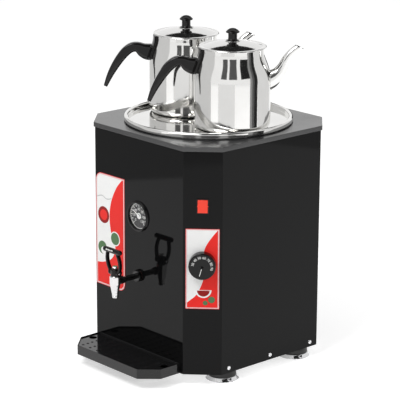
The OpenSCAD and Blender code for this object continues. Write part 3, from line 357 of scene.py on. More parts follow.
def copy_of(node, material):
    """A new object with a copy of a CAD node's mesh, its doubled points merged"""
    mesh = nodes[node].data.copy()
    paint(mesh, material)
    piece = new_object(node + "_dressed", mesh)
    work = bmesh.new()
    work.from_mesh(mesh)
    bmesh.ops.remove_doubles(work, verts=work.verts, dist=1e-6)
    bmesh.ops.dissolve_limit(work, angle_limit=math.radians(1), verts=work.verts, edges=work.edges)
    work.to_mesh(mesh)
    work.free()
    return piece


def rounded(node, material, radius, shortest, sharpest=100):
    """A copy of a CAD node with its longer edges rounded"""
    piece = copy_of(node, material)
    work = bmesh.new()
    work.from_mesh(piece.data)
    folds = [
        e for e in work.edges
        if len(e.link_faces) == 2 and e.calc_length() > shortest
        and math.radians(35) < abs(e.calc_face_angle(0)) < math.radians(sharpest)
    ]
    bmesh.ops.bevel(
        work, geom=folds, offset=radius, offset_type="OFFSET", segments=3, profile=0.5,
        affect="EDGES", clamp_overlap=True,
    )
    work.to_mesh(piece.data)
    work.free()
    return shaded(piece)


def mounted(piece, body, slot, *replaced):
    """Rides a piece on its body and hides the CAD nodes it stands for; the slot is not used"""
    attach(piece, body)
    if replaced:
        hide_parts(*replaced)


panel_black = coated("panel_black", (0.0035, 0.0035, 0.0037), 0.03, 0.07, peel=1400.0, bump=0.01, IOR=1.23)
for name in ("front_wrap", "side_panel_left", "side_panel_right", "rear_wrap"):
    mounted(rounded(name, panel_black, 0.7 * MM, 0.1, 50), "housing", "black_panel", name)

# -------------------------------------------- Top plate
# One black plate with a turned-down lip all round. It takes the light at a
# flat angle; its coat is the panels' black with a lighter colour and a stronger gloss, a painted sheen for
# its grey look.

# The panels' black coat with a lighter colour and higher IOR: a painted sheen
top_black_painted_sheen = coated(
    "top_black_painted_sheen", (0.02, 0.02, 0.021), 0.16, 0.26, peel=1200.0, bump=0.04, speck=(0.05, 0.05, 0.05), IOR=1.75,
)
mounted(rounded("top_plate", top_black_painted_sheen, 0.6 * MM, 0.03), "housing", "black_panel", "top_plate")

# -------------------------------------------- Panel screws
# Chromed pan-head screws with a cross recess, three along the bottom of each
# side. One head is modelled and repeated with geometry nodes.


def moved(x, y, z):
    """A shift in millimetres"""
    return Matrix.Translation(Vector((x, y, z)) * MM)


def spun(degrees, axis):
    """A turn about an axis"""
    return Matrix.Rotation(math.radians(degrees), 4, axis)


def piece_of(name, points, faces, material, place=Matrix()):
    """A piece from points in millimetres, put in its place"""
    mesh = bpy.data.meshes.new(name)
    mesh.from_pydata([place @ (Vector(p) * MM) for p in points], [], faces)
    mesh.materials.append(material)
    piece = new_object(name, mesh)
    work = bmesh.new()
    work.from_mesh(mesh)
    bmesh.ops.remove_doubles(work, verts=work.verts, dist=1e-6)
    bmesh.ops.dissolve_degenerate(work, edges=work.edges, dist=1e-6)
    bmesh.ops.recalc_face_normals(work, faces=work.faces)
    work.to_mesh(mesh)
    work.free()
    return piece


def arc(middle, radius, start, end, steps):
    """Points of an arc, angles in degrees"""
    angles = [math.radians(start + (end - start) * i / steps) for i in range(steps + 1)]
    return [(middle[0] + radius * math.cos(a), middle[1] + radius * math.sin(a)) for a in angles]


def turned(name, profile, material, place=Matrix(), steps=128):
    """A closed profile of (radius, height) turned about the upright axis"""
    n = len(profile)
    points = [
        (r * math.cos(2 * math.pi * k / steps), r * math.sin(2 * math.pi * k / steps), z)
        for k in range(steps) for r, z in profile
    ]
    faces = [
        (k * n + i, (k + 1) % steps * n + i, (k + 1) % steps * n + (i + 1) % n, k * n + (i + 1) % n)
        for k in range(steps) for i in range(n)
    ]
    return piece_of(name, points, faces, material, place)


def box_of(name, low, high, material, place=Matrix()):
    """A box between two corners"""
    points = [(x, y, z) for x in (low[0], high[0]) for y in (low[1], high[1]) for z in (low[2], high[2])]
    faces = [(0, 1, 3, 2), (4, 6, 7, 5), (0, 4, 5, 1), (2, 3, 7, 6), (0, 2, 6, 4), (1, 5, 7, 3)]
    return piece_of(name, points, faces, material, place)


def combined(piece, others, operation="DIFFERENCE"):
    """A piece after a boolean operation with other pieces, which are used up"""
    for other in others:
        step = piece.modifiers.new(operation.lower(), "BOOLEAN")
        step.operation = operation
        step.solver = "EXACT"
        step.object = other
    applied(piece)
    for other in others:
        bpy.data.objects.remove(other)


def merged(name, parts):
    """One piece from several, each with its own material"""
    mesh = bpy.data.meshes.new(name)
    work = bmesh.new()
    for index, part in enumerate(parts):
        first = len(work.faces)
        work.from_mesh(part.data)
        work.faces.ensure_lookup_table()
        for face in work.faces[first:]:
            face.material_index = index
    work.to_mesh(mesh)
    work.free()
    for part in parts:
        mesh.materials.append(part.data.materials[0])
        bpy.data.objects.remove(part)
    return new_object(name, mesh)


# Repeats one shape at each point of a mesh, turned by the point's own angles
repeat_tree = bpy.data.node_groups.new("repeat_shape", "GeometryNodeTree")
repeat_sockets = {}
for socket, way, kind in (
    ("Points", "INPUT", "NodeSocketGeometry"), ("Shape", "INPUT", "NodeSocketObject"),
    ("Material", "INPUT", "NodeSocketMaterial"), ("Result", "OUTPUT", "NodeSocketGeometry"),
):
    item = repeat_tree.interface.new_socket(name=socket, in_out=way, socket_type=kind)
    repeat_sockets[socket] = item.identifier
repeat_in = repeat_tree.nodes.new("NodeGroupInput")
repeat_out = repeat_tree.nodes.new("NodeGroupOutput")
repeat_shape = new_node(repeat_tree, "GeometryNodeObjectInfo", {"Object": repeat_in.outputs["Shape"]})
repeat_turn = new_node(
    repeat_tree, "GeometryNodeInputNamedAttribute", {"Name": "turn"}, data_type="FLOAT_VECTOR",
)
repeat_place = new_node(repeat_tree, "GeometryNodeInstanceOnPoints", {
    "Points": repeat_in.outputs["Points"], "Instance": repeat_shape.outputs["Geometry"],
    "Rotation": repeat_turn.outputs[0],
})
repeat_real = new_node(repeat_tree, "GeometryNodeRealizeInstances", {
    "Geometry": repeat_place.outputs["Instances"],
})
repeat_paint = new_node(repeat_tree, "GeometryNodeSetMaterial", {
    "Geometry": repeat_real.outputs["Geometry"], "Material": repeat_in.outputs["Material"],
})
repeat_tree.links.new(repeat_paint.outputs["Geometry"], repeat_out.inputs["Result"])


def repeated(name, shape, places, material):
    """One piece with a shape at each place, a pair of a point in millimetres and three angles"""
    mesh = bpy.data.meshes.new(name)
    mesh.from_pydata([tuple(Vector(point) * MM) for point, angles in places], [], [])
    turn = mesh.attributes.new("turn", "FLOAT_VECTOR", "POINT")
    for index, (point, angles) in enumerate(places):
        turn.data[index].vector = angles
    piece = new_object(name, mesh)
    step = piece.modifiers.new("repeat", "NODES")
    step.node_group = repeat_tree
    step[repeat_sockets["Shape"]] = shape
    step[repeat_sockets["Material"]] = material
    applied(piece)
    bpy.data.objects.remove(shape)
    return shaded(piece)


chrome = coated("chrome", (0.84, 0.84, 0.85), 0.05, 0.12, peel=500.0, bump=0.01, Metallic=1.0)
screw_head = turned("screw_head", (
    [(0, 0), (4.4, 0), (4.4, 0.5)] + arc((2.8, 0.5), 1.6, 0, 80, 6) + [(0, 2.3)]
), chrome, steps=48)
combined(screw_head, [
    box_of("recess_a", (-2.1, -0.45, 1.0), (2.1, 0.45, 4), chrome),
    box_of("recess_b", (-0.45, -2.1, 1.0), (0.45, 2.1, 4), chrome),
])
screw_out, screw_pitch, screw_high = 198.02, 120, 35
screw_places = []
for turn_deg in (0, 90, 180):
    for k in (-1, 0, 1):
        spot = spun(turn_deg, "Z") @ Vector((screw_out, screw_pitch * k, screw_high))
        screw_places.append((spot, (0.0, math.radians(90), math.radians(turn_deg))))
mounted(repeated("screw_heads", screw_head, screw_places, chrome), "housing", "bright_chrome", "panel_screws")

# -------------------------------------------- Zinc-plated parts
# Base pan, brackets, runners, studs, nuts and bolts, with faint spangles.

spangle_group, spangle_in, spangle_out = new_group(
    "zinc_spangle",
    [("Place", "NodeSocketVector", None), ("Scale", "NodeSocketFloat", 120.0)],
    [("Color", "NodeSocketColor"), ("Roughness", "NodeSocketFloat")],
)
spangle_cells = new_node(spangle_group, "ShaderNodeTexVoronoi", {
    "Vector": spangle_in.outputs["Place"], "Scale": spangle_in.outputs["Scale"],
})
spangle_tone = new_node(spangle_group, "ShaderNodeMapRange", {
    "Value": spangle_cells.outputs["Distance"], "From Max": 0.8, "To Min": 0.52, "To Max": 0.68,
})
spangle_rough = new_node(spangle_group, "ShaderNodeMapRange", {
    "Value": spangle_cells.outputs["Distance"], "From Max": 0.8, "To Min": 0.3, "To Max": 0.5,
})
spangle_color = new_node(spangle_group, "ShaderNodeCombineColor", {
    channel: spangle_tone.outputs["Result"] for channel in ("Red", "Green", "Blue")
})
spangle_group.links.new(spangle_color.outputs["Color"], spangle_out.inputs["Color"])
spangle_group.links.new(spangle_rough.outputs["Result"], spangle_out.inputs["Roughness"])


def zinc(name, scale):
    """Zinc plate with spangles of one size"""
    material = finish(name, (0.6, 0.6, 0.61), 0.4, Metallic=1.0)
    spangle = grouped(material, spangle_group, Scale=scale)
    to_shader(material, "Base Color", spangle.outputs["Color"])
    return material


dress(zinc("zinc_sheet", 140.0), "base_pan", "top_brackets", "tray_runners", "thermostat_body")
dress(zinc("zinc_turned", 500.0), "foot_studs", "foot_nuts", "heater_bolts", "tap_back_nut")

# -------------------------------------------- Feet
# Bought-in levelling feet: a black rubber cup on a bright dish. Both are turned.

rubber = coated("rubber", (0.012, 0.012, 0.012), 0.4, 0.6, peel=600.0, bump=0.1, speck=(0.05, 0.05, 0.045))
foot_x, foot_y = 163, 106
foot_spots = [((x, y, 0), (0, 0, 0)) for x in (-foot_x, foot_x) for y in (-foot_y, foot_y)]
cup = turned("cup", (
    [(4.4, 9.1), (29, 9.1)] + arc((28.4, 11), 1.6, -60, 0, 4)
    + [(29.4, 16), (28.6, 20)] + arc((26.2, 22.4), 1.6, 0, 90, 5) + [(4.4, 24)]
), rubber, steps=96)
mounted(repeated("foot_cups_turned", cup, foot_spots, rubber), "housing", "black_rubber", "foot_cups")
dish = turned("dish", (
    [(4.4, 4.5), (28, 4.5), (29, 0)] + arc((34.5, 1.5), 1.5, -90, 50, 8)
    + [(33.2, 5), (31.6, 7.6)] + arc((29.6, 7.2), 1.8, 30, 90, 4) + [(4.4, 9)]
), chrome, steps=96)
mounted(repeated("foot_dishes_turned", dish, foot_spots, chrome), "housing", "bright_chrome", "foot_dishes")

# -------------------------------------------- Boiler inside
# Spun stainless tank in a glass-wool jacket, with a tube element, a copper
# bulb and a ceramic terminal block.

steel_group, steel_in, steel_out = new_group(
    "turned_steel",
    [
        ("Place", "NodeSocketVector", None), ("Middle", "NodeSocketVector", (0.0, 0.0, 0.0)),
        ("Ring Scale", "NodeSocketFloat", 260.0), ("Gloss", "NodeSocketFloat", 0.06),
        ("Dull", "NodeSocketFloat", 0.16),
    ],
    [("Roughness", "NodeSocketFloat"), ("Height", "NodeSocketFloat"), ("Shade", "NodeSocketFloat")],
)
steel_local = new_node(steel_group, "ShaderNodeVectorMath", {
    0: steel_in.outputs["Place"], 1: steel_in.outputs["Middle"],
}, operation="SUBTRACT")
steel_parts = new_node(steel_group, "ShaderNodeSeparateXYZ", {"Vector": steel_local.outputs[0]})
steel_flat = new_node(steel_group, "ShaderNodeCombineXYZ", {
    "X": steel_parts.outputs["X"], "Y": steel_parts.outputs["Y"],
})
steel_radius = new_node(steel_group, "ShaderNodeVectorMath", {0: steel_flat.outputs[0]}, operation="LENGTH")
steel_line = new_node(steel_group, "ShaderNodeCombineXYZ", {
    "X": steel_radius.outputs["Value"], "Z": steel_parts.outputs["Z"],
})
steel_rings = new_node(steel_group, "ShaderNodeTexNoise", {
    "Vector": steel_line.outputs[0], "Scale": steel_in.outputs["Ring Scale"], "Detail": 3.0,
})
steel_cloud = new_node(steel_group, "ShaderNodeTexNoise", {
    "Vector": steel_local.outputs[0], "Scale": 14.0, "Detail": 4.0,
})
steel_both = new_node(steel_group, "ShaderNodeMath", {
    0: steel_rings.outputs["Fac"], 1: steel_cloud.outputs["Fac"],
}, operation="MULTIPLY")
steel_rough = new_node(steel_group, "ShaderNodeMapRange", {
    "Value": steel_both.outputs[0], "From Min": 0.1, "From Max": 0.45,
    "To Min": steel_in.outputs["Gloss"], "To Max": steel_in.outputs["Dull"],
})
steel_shade = new_node(steel_group, "ShaderNodeMapRange", {
    "Value": steel_cloud.outputs["Fac"], "From Min": 0.3, "From Max": 0.7,
})
steel_group.links.new(steel_rough.outputs["Result"], steel_out.inputs["Roughness"])
steel_group.links.new(steel_rings.outputs["Fac"], steel_out.inputs["Height"])
steel_group.links.new(steel_shade.outputs["Result"], steel_out.inputs["Shade"])


def polished(name, middle, gloss, dull, light=(0.84, 0.835, 0.82), dark=(0.76, 0.755, 0.74)):
    """Stainless steel with faint turning rings about its own axis"""
    material = finish(name, light, gloss, Metallic=1.0)
    steel = grouped(material, steel_group, Middle=middle, Gloss=gloss, Dull=dull)
    tinted(material, steel.outputs["Shade"], light, dark)
    embossed(material, steel.outputs["Height"], 0.02, 0.0002)
    return material


dress(polished("tank_steel", (0, 0, 0), 0.2, 0.35), "tank", "cover_spigot")
dress(coated(
    "glass_wool", (0.62, 0.5, 0.2), 0.95, 1.0, peel=260.0, bump=0.9, speck=(0.75, 0.66, 0.35), smear=30.0,
    Sheen_Weight=0.4,
), "insulation")
dress(coated(
    "element_steel", (0.2, 0.19, 0.18), 0.35, 0.55, peel=300.0, bump=0.1, speck=(0.1, 0.09, 0.09),
    Metallic=1.0,
), "heating_element")
dress(coated(
    "bulb_copper", (0.72, 0.36, 0.2), 0.25, 0.4, peel=500.0, bump=0.04, Metallic=1.0,
), "thermostat_bulb")
dress(coated(
    "block_ceramic", (0.78, 0.76, 0.7), 0.45, 0.6, peel=500.0, bump=0.08, speck=(0.7, 0.68, 0.6),
), "terminal_block")
dress(coated(
    "red_rubber", (0.32, 0.03, 0.02), 0.5, 0.6, peel=600.0, bump=0.1,
), "heater_gasket", "seat_washer")
black_gloss = coated("black_gloss", (0.003, 0.003, 0.003), 0.1, 0.18, peel=800.0, bump=0.03, IOR=1.33)
dress(black_gloss, "dry_boil_cutout", "cable_gland", "gland_nut")
dress(coated("gasket_rubber", (0.04, 0.01, 0.008), 0.5, 0.6, peel=600.0, bump=0.1), "tap_gaskets")
dress(coated(
    "oxide_steel", (0.03, 0.03, 0.03), 0.35, 0.5, peel=500.0, bump=0.03, Metallic=1.0,
), "thermostat_shaft")

# -------------------------------------------- Round cover
# Spun stainless cover with a rolled rim and two collared steam holes. The
# plate and its rim are turned as one, and the holes are cut through.

cover_steel = polished("cover_steel", (0, 0, 0), 0.05, 0.1)
seat_turn = math.radians(-8)
seat_out, hole_r = 87, 46
plate_low, plate_top = 516.5, 517.5
rim_mid, rim_high, rim_in, rim_out = 176.1, 523.5, 3.5, 4.5
seats = [
    Vector((seat_out * s * math.cos(seat_turn), seat_out * s * math.sin(seat_turn), 0)) for s in (-1, 1)
]
cover_sheet = turned("cover_sheet", (
    [(0, plate_low), (rim_mid - rim_in, plate_low), (rim_mid - rim_in, rim_high)]
    + arc((rim_mid, rim_high), rim_in, 180, 0, 14)[1:]
    + [(rim_mid + rim_in, 518), (rim_mid + rim_out, 518)] + arc((rim_mid, rim_high), rim_out, 0, 180, 20)
    + arc((rim_mid - rim_out - 1, plate_top + 1), 1, 0, -90, 4) + [(0, plate_top)]
), cover_steel, steps=192)
combined(cover_sheet, [
    turned("hole", [(0, 510), (hole_r, 510), (hole_r, 530), (0, 530)], cover_steel, moved(*seat), 96)
    for seat in seats
])
collars = [
    turned("collar", (
        [(46, 516.6), (47, 516.6), (47.8, 517.5), (47, 518.3), (47, 520.5)]
        + arc((46.5, 520.5), 0.5, 0, 180, 6)
    ), cover_steel, moved(*seat), 96)
    for seat in seats
]
mounted(
    shaded(merged("cover_turned", [cover_sheet] + collars)),
    "round_cover", "polished_steel", "cover", "cover_rim",
)

# -------------------------------------------- Teapots
# Two spun stainless pots. The wall is turned from base to mouth, with a small
# hole pattern behind the spout. The swan-neck spout is lofted and welded on,
# and the lid is a pressed dome with a rolled edge and a ring.


def smooth_line(stations, share):
    """A point on the smooth curve through all stations, share from 0 to 1"""
    last = len(stations) - 1
    i = min(int(share * last), last - 1)
    t = share * last - i
    a, b, c, d = (stations[min(max(j, 0), last)] for j in (i - 1, i, i + 1, i + 2))
    return [
        0.5 * (2 * q + (r - p) * t + (2 * p - 5 * q + 4 * r - s) * t * t + (3 * q - p - 3 * r + s) * t ** 3)
        for p, q, r, s in zip(a, b, c, d)
    ]


def lofted(name, stations, rings, sides, material, place, squareness=1.0):
    """A bar through stations (x, z, half height, half width), oval or nearly square in section"""
    points = []
    for k in range(rings + 1):
        share = k / rings
        x, z, high, wide = smooth_line(stations, share)
        x0, z0 = smooth_line(stations, max(share - 0.01, 0))[:2]
        x1, z1 = smooth_line(stations, min(share + 0.01, 1))[:2]
        along = Vector((x1 - x0, z1 - z0)).normalized()
        for j in range(sides):
            a = 2 * math.pi * j / sides
            up = high * math.copysign(abs(math.cos(a)) ** squareness, math.cos(a))
            across = wide * math.copysign(abs(math.sin(a)) ** squareness, math.sin(a))
            points.append((x - along.y * up, across, z + along.x * up))
    faces = [
        (k * sides + j, k * sides + (j + 1) % sides, (k + 1) * sides + (j + 1) % sides, (k + 1) * sides + j)
        for k in range(rings) for j in range(sides)
    ]
    faces += [tuple(range(sides)), tuple(range(rings * sides, (rings + 1) * sides))]
    return piece_of(name, points, faces, material, place)


pot_turn = 47.8
pot_high, belly, belly_high, neck, foot_round = 169.5, 80.6, 99, 66, 13
base_r, base_rise, pot_wall = 50, 4.5, 1
spout_wall, mouth_x, mouth_z, mouth_lean = 0.9, 138.7, 170.5, 67
dome_half, dome_rise, lid_edge, lid_bead, lid_wall = 62, 10.5, 68.6, 2.4, 0.8
lid_low = pot_high + 1.4
lid_top = lid_low + 12.5
knob_high, knob_foot, knob_stem = 26.5, 13.1, 9.4
strap_low, strap_start, strap_sweep = 119, 159, 42


def shoulder(z):
    """Radius of the pot's outside at a height above the belly"""
    share = min((z - belly_high) / (pot_high - 7 - belly_high), 1)
    return neck + (belly - neck) * (0.5 + 0.5 * math.cos(math.pi * share ** 1.3))


def pot_side(inward):
    """The pot's side from its base to its mouth, moved inwards"""
    heights = [belly_high + (pot_high - belly_high) * i / 36 for i in range(37)]
    return (
        arc((belly - foot_round, foot_round), foot_round - inward, -90, 0, 12)
        + [(shoulder(z) - inward, z) for z in heights]
    )


def pot_room(gap, material, place):
    """The space that the pot's side takes, with a gap round it"""
    outline = [(0, 0)] + [(r + gap, z) for r, z in pot_side(0)] + [(0, pot_high)]
    return turned("pot_room", outline, material, place)


def moulded(piece, grain):
    """A piece with the soft edges and fillets of a moulding"""
    material = piece.data.materials[0]
    skin = piece.modifiers.new("skin", "REMESH")
    skin.mode = "VOXEL"
    skin.voxel_size = grain * MM
    ease = piece.modifiers.new("ease", "SMOOTH")
    ease.iterations = 8
    ease.factor = 0.5
    applied(piece)
    paint(piece.data, material)
    for face in piece.data.polygons:
        face.use_smooth = True
    return piece


spout_stations = [
    (62, 90, 19.5, 17), (82, 103, 19, 15), (95.5, 114.5, 14.5, 12.5), (104.5, 128, 11.3, 10.6),
    (112, 143, 10, 9.8), (123, 157.5, 9.1, 9), (138.7, 170.5, 8.7, 8.7), (150, 179, 8.7, 8.7),
]
handle_stations = [
    (x, z, high, wide / 0.9) for x, z, high, wide in (
        (-60, 130, 16, 9), (-80, 129.5, 17.5, 9), (-92, 133, 15.5, 9), (-105, 140, 10.8, 9),
        (-118, 138.8, 10.2, 9), (-131, 129.4, 10.2, 9), (-143.5, 114, 9.5, 8.6), (-155, 96, 8.4, 7.6),
        (-165.5, 76, 6.6, 6.4), (-174.5, 54, 4.2, 4.6),
    )
]
strainer = [(0, 0)] + arc((0, 0), 8, 90, -210, 5)
bakelite = coated("bakelite", (0.004, 0.0035, 0.0035), 0.07, 0.14, peel=700.0, bump=0.02, IOR=1.4)

for side, seat in (("rear", seats[0]), ("front", seats[1])):
    place = moved(seat.x, seat.y, plate_top) @ spun(pot_turn, "Z")
    pot_steel = polished("pot_steel_" + side, seat * MM, 0.05, 0.12)
    # The lids take the pot steel with darker colours: a painted shade
    lid_steel_painted_shade = polished(
        "lid_steel_painted_shade_" + side, seat * MM, 0.06, 0.12, (0.76, 0.755, 0.745), (0.68, 0.675, 0.665),
    )
    wall = turned("wall_" + side, (
        [(0, base_rise), (base_r - 1.5, base_rise), (base_r, 0.3), (base_r + 0.4, 0)] + pot_side(0)
        + arc((neck + 0.2, pot_high + 0.4), 0.8, -60, 170, 8) + pot_side(pot_wall)[::-1]
        + [(base_r + 0.5, pot_wall), (base_r - 1, base_rise + pot_wall), (0, base_rise + pot_wall)]
    ), pot_steel, place, 144)
    combined(wall, [
        turned(
            "strainer_hole", [(0, 72), (2.6, 72), (2.6, 84), (0, 84)], pot_steel,
            place @ moved(0, across, belly_high + up) @ spun(90, "Y"), 24,
        )
        for across, up in strainer
    ])
    mounted(shaded(wall), side + "_pot", "polished_steel", "teapot_" + side)

    spout = lofted("spout_shape_" + side, spout_stations, 84, 48, pot_steel, place)
    inside = [(x, z, high - spout_wall, wide - spout_wall) for x, z, high, wide in spout_stations]
    mouth = place @ moved(mouth_x, 0, mouth_z) @ spun(-mouth_lean, "Y")
    combined(spout, [
        lofted("hollow", inside, 84, 48, pot_steel, place),
        box_of("mouth_cut", (0, -20, -20), (30, 20, 20), pot_steel, mouth),
        pot_room(0.1, pot_steel, place),
    ])
    mounted(shaded(spout, 40), side + "_pot", "polished_steel", "spout_" + side)

    handle = lofted("handle_shape_" + side, handle_stations, 90, 48, bakelite, place, 0.42)
    heights = [strap_low + (pot_high - 2 - strap_low) * i / 24 for i in range(25)]
    rows = [(60.5, heights[-1]), (60.5, heights[0])] + [(shoulder(z) + 5.5, z) for z in heights]
    turns = [math.radians(strap_start + strap_sweep * k / 16) for k in range(17)]
    n = len(rows)
    strap = piece_of(
        "strap", [(r * math.cos(a), r * math.sin(a), z) for a in turns for r, z in rows],
        [
            (k * n + i, (k + 1) * n + i, (k + 1) * n + (i + 1) % n, k * n + (i + 1) % n)
            for k in range(16) for i in range(n)
        ] + [tuple(range(n)), tuple(range(16 * n, 17 * n))],
        bakelite, place,
    )
    combined(handle, [strap], "UNION")
    combined(handle, [pot_room(0.15, bakelite, place)])
    mounted(moulded(handle, 0.6), side + "_pot", "black_bakelite", "handle_" + side)

    sphere = (dome_half ** 2 + dome_rise ** 2) / (2 * dome_rise)
    core = lid_top - sphere
    sweep = [math.asin(dome_half / sphere) * i / 24 for i in range(25)]
    dome = [(sphere * math.sin(a), core + sphere * math.cos(a)) for a in sweep]
    seat_ring = arc((15.6, lid_top - 0.7), 1.3, 160, 20, 8)
    dome = [p for p in dome if p[0] < 14] + seat_ring + [p for p in dome if p[0] > 17.2]
    under = [((sphere - lid_wall) * math.sin(a), core + (sphere - lid_wall) * math.cos(a)) for a in sweep]
    lid = turned("lid_shape_" + side, (
        dome + [(63, lid_low + 1.7), (64.2, lid_low + 2.1), (66, lid_low + 2.4)]
        + arc((lid_edge, lid_low + 0.1), lid_bead, 80, -2, 12)
        + [(70.4, lid_low), (67, lid_low), (64.5, lid_low + 0.1), (63, lid_low + 0.5), (63, lid_low - 7.6)]
        + arc((62.6, lid_low - 7.6), 0.4, 0, -180, 4) + under[::-1]
    ), lid_steel_painted_shade, place, 144)
    mounted(shaded(lid, 50), side + "_pot_lid", "polished_steel", "lid_" + side)

    knob = turned("lid_knob_shape_" + side, (
        [(0, 0.1), (knob_foot, 0.1)] + arc((knob_foot, 0.6), 0.5, -90, 70, 5)
        + [(11, 1.7), (9.8, 2.8), (knob_stem, 4.6)]
        + [(knob_stem, knob_high - 12), (9.8, knob_high - 10.6), (11, knob_high - 9.8)]
        + arc((12.9, knob_high - 8.2), 1.6, -60, 60, 6)
        + [(12.2, knob_high - 5.2), (9.8, knob_high - 3), (6, knob_high - 1)]
        + [(2.5, knob_high - 0.2), (0, knob_high)]
    ), bakelite, place @ moved(0, 0, lid_top), 96)
    mounted(shaded(knob, 50), side + "_pot_lid", "black_bakelite", "lid_knob_" + side)

# -------------------------------------------- Tap
# Black-enamelled pipe with its nut and bonnet, a bright turned spout and a moulded
# yoke lever with white dashes on its grip as a painted highlight. The valve stem, its spring and the pin are
# bright steel.

# A face's place has +X out of that side of the housing, and +Y to the side's right
front_face, chamfer_face = spun(-90, "Z"), spun(-45, "Z")
tap_out, bore_high, pin_high = 262.5, 207, 227.5
nozzle_place = front_face @ moved(tap_out, 0, 0)
# The spout's chrome with a darker colour than the other chrome parts: a painted shade
chrome_painted_darker = coated("chrome_painted_darker", (0.66, 0.66, 0.66), 0.12, 0.22, peel=500.0, bump=0.02, Metallic=1.0)
nozzle = turned("nozzle", (
    [(4.7, 172.6)] + arc((5.5, 172.7), 0.8, -170, 0, 6) + arc((5.8, 175.6), 1.3, -60, 60, 6)
    + [(6.5, 178), (7.3, 182), (7.2, 182.6), (7.5, 183.2), (8.8, 190), (8.7, 190.6), (9, 191.2), (10.4, 198)]
    + [(10.3, 198.6), (11.1, 200.5), (11.5, 202), (11.5, 217.4), (11, 219.2), (10.2, 220), (8, 220), (8, 198)]
    + [(4.7, 198)]
), chrome_painted_darker, nozzle_place, 96)
combined(nozzle, [
    turned(
        "pipe_room", [(0, 5), (6.3, 5), (6.3, 14), (0, 14)], chrome_painted_darker,
        nozzle_place @ moved(0, 0, bore_high) @ spun(-90, "Y"), 48,
    ),
])
mounted(shaded(nozzle), "housing", "bright_chrome", "tap_nozzle")
bonnet = turned("bonnet", (
    [(3.1, 214), (7.8, 214), (7.8, 220), (9.5, 220), (9.5, 221.4), (9.3, 221.8), (9.5, 222.2)]
    + arc((7, 232.5), 2.5, 0, 90, 8) + [(5.4, 235.4), (3.1, 235)]
), black_gloss, nozzle_place, 96)
combined(bonnet, [
    turned(
        "pin_room", [(0, -20), (1.7, -20), (1.7, 20), (0, 20)], black_gloss,
        nozzle_place @ moved(0, 0, pin_high) @ spun(90, "X"), 32,
    ),
])
mounted(shaded(bonnet), "housing", "black_plastic", "tap_bonnet")
mounted(moulded(copy_of("tap_lever", black_gloss), 0.45), "tap_handle", "black_plastic", "tap_lever")
# White dashes on the grip's front: a painted highlight
grip_front = nozzle_place @ moved(0, 0, pin_high) @ spun(7.8, "Y") @ moved(0, 0, 49) @ spun(-25, "Y")
print_white = coated("print_white", (0.85, 0.85, 0.83), 0.4, 0.5, bump=0.02)
grip_marks = [
    box_of("mark", (5.2, left, -1.3), (5.66, left + wide, 1.3), print_white, grip_front)
    for left, wide in ((-15, 3.4), (-10.6, 1.6), (-8, 3.4), (-3.4, 2.4), (0.4, 3.4), (5, 1.6))
]
mounted(merged("grip_marks", grip_marks), "tap_handle", "needle_paint")
dress(coated("enamel", (0.006, 0.006, 0.006), 0.08, 0.16, peel=700.0, bump=0.05), "tap_shank")
dress(black_gloss, "tap_flange_nut")
dress(chrome, "tap_stem", "tap_pin")
dress(coated("spring_steel", (0.6, 0.6, 0.61), 0.2, 0.3, bump=0.03, Metallic=1.0), "tap_spring")

# -------------------------------------------- Drip tray and grate
# Folded black tray with rounded edges, and a perforated plate whose holes
# have a small pressed bead.

tray_black = coated(
    "tray_black", (0.006, 0.006, 0.0065), 0.1, 0.18, peel=1200.0, bump=0.04, speck=(0.03, 0.03, 0.03),
    IOR=1.45,
)
mounted(rounded("drip_tray", tray_black, 0.5 * MM, 0.01), "tray", "black_panel", "drip_tray")
dress(tray_black, "drip_grate")
bead = turned("bead", arc((2.75, 0), 0.3, 0, 180, 6), tray_black, steps=24)
hole_across, hole_along, first_row, grate_high = 24, 12.5, -273.5, 43
bead_places = [
    ((hole_across * k, first_row + hole_along * j, grate_high), (0, 0, 0))
    for k in range(-4, 5) for j in range(6)
]
mounted(repeated("grate_beads", bead, bead_places, tray_black), "grate", "black_panel")

# -------------------------------------------- Thermometer
# Black dial with white marks under a flat glass, in a turned black bezel. The
# scale runs from 0 to 120 over three quarters of the dial.


def facing(face, out, up):
    """Place that stands a flat drawing on a side of the housing, out and up in millimetres"""
    stand = Matrix(((0, 0, 1, 0), (1, 0, 0, 0), (0, 1, 0, 0), (0, 0, 0, 1)))
    return face @ moved(out, 0, up) @ stand


def on_ring(turn, radius):
    """Shift to a place on a ring, at an angle from the top"""
    return moved(-radius * math.sin(turn), radius * math.cos(turn), 0)


def scale_turn(value):
    """Where a value lies on the dial, as an angle from the top"""
    return math.radians(135 - 270 * value / scale_end)


def flat_shape(name, loop, material, place):
    """A filled flat shape from one loop of points (right, up) in millimetres"""
    mesh = bpy.data.meshes.new(name)
    work = bmesh.new()
    rim = [work.verts.new(Vector((x, y, 0)) * MM) for x, y in loop]
    edges = [work.edges.new((rim[i - 1], rim[i])) for i in range(len(rim))]
    bmesh.ops.triangle_fill(work, use_beauty=True, edges=edges, normal=(0, 0, 1))
    for face in work.faces:
        face.normal_update()
        if face.normal.z < 0:
            face.normal_flip()
    work.transform(place)
    work.to_mesh(mesh)
    work.free()
    mesh.materials.append(material)
    return new_object(name, mesh)


def lettered(words, size, material, place):
    """Plain figures as a flat mesh"""
    text = bpy.data.curves.new("figures", "FONT")
    text.body = words
    text.size = size * MM
    text.align_x = "CENTER"
    text.align_y = "CENTER"
    holder = new_object("figures", text)
    graph = bpy.context.evaluated_depsgraph_get()
    mesh = bpy.data.meshes.new_from_object(holder.evaluated_get(graph))
    bpy.data.objects.remove(holder)
    mesh.transform(place)
    paint(mesh, material)
    return new_object("figures", mesh)


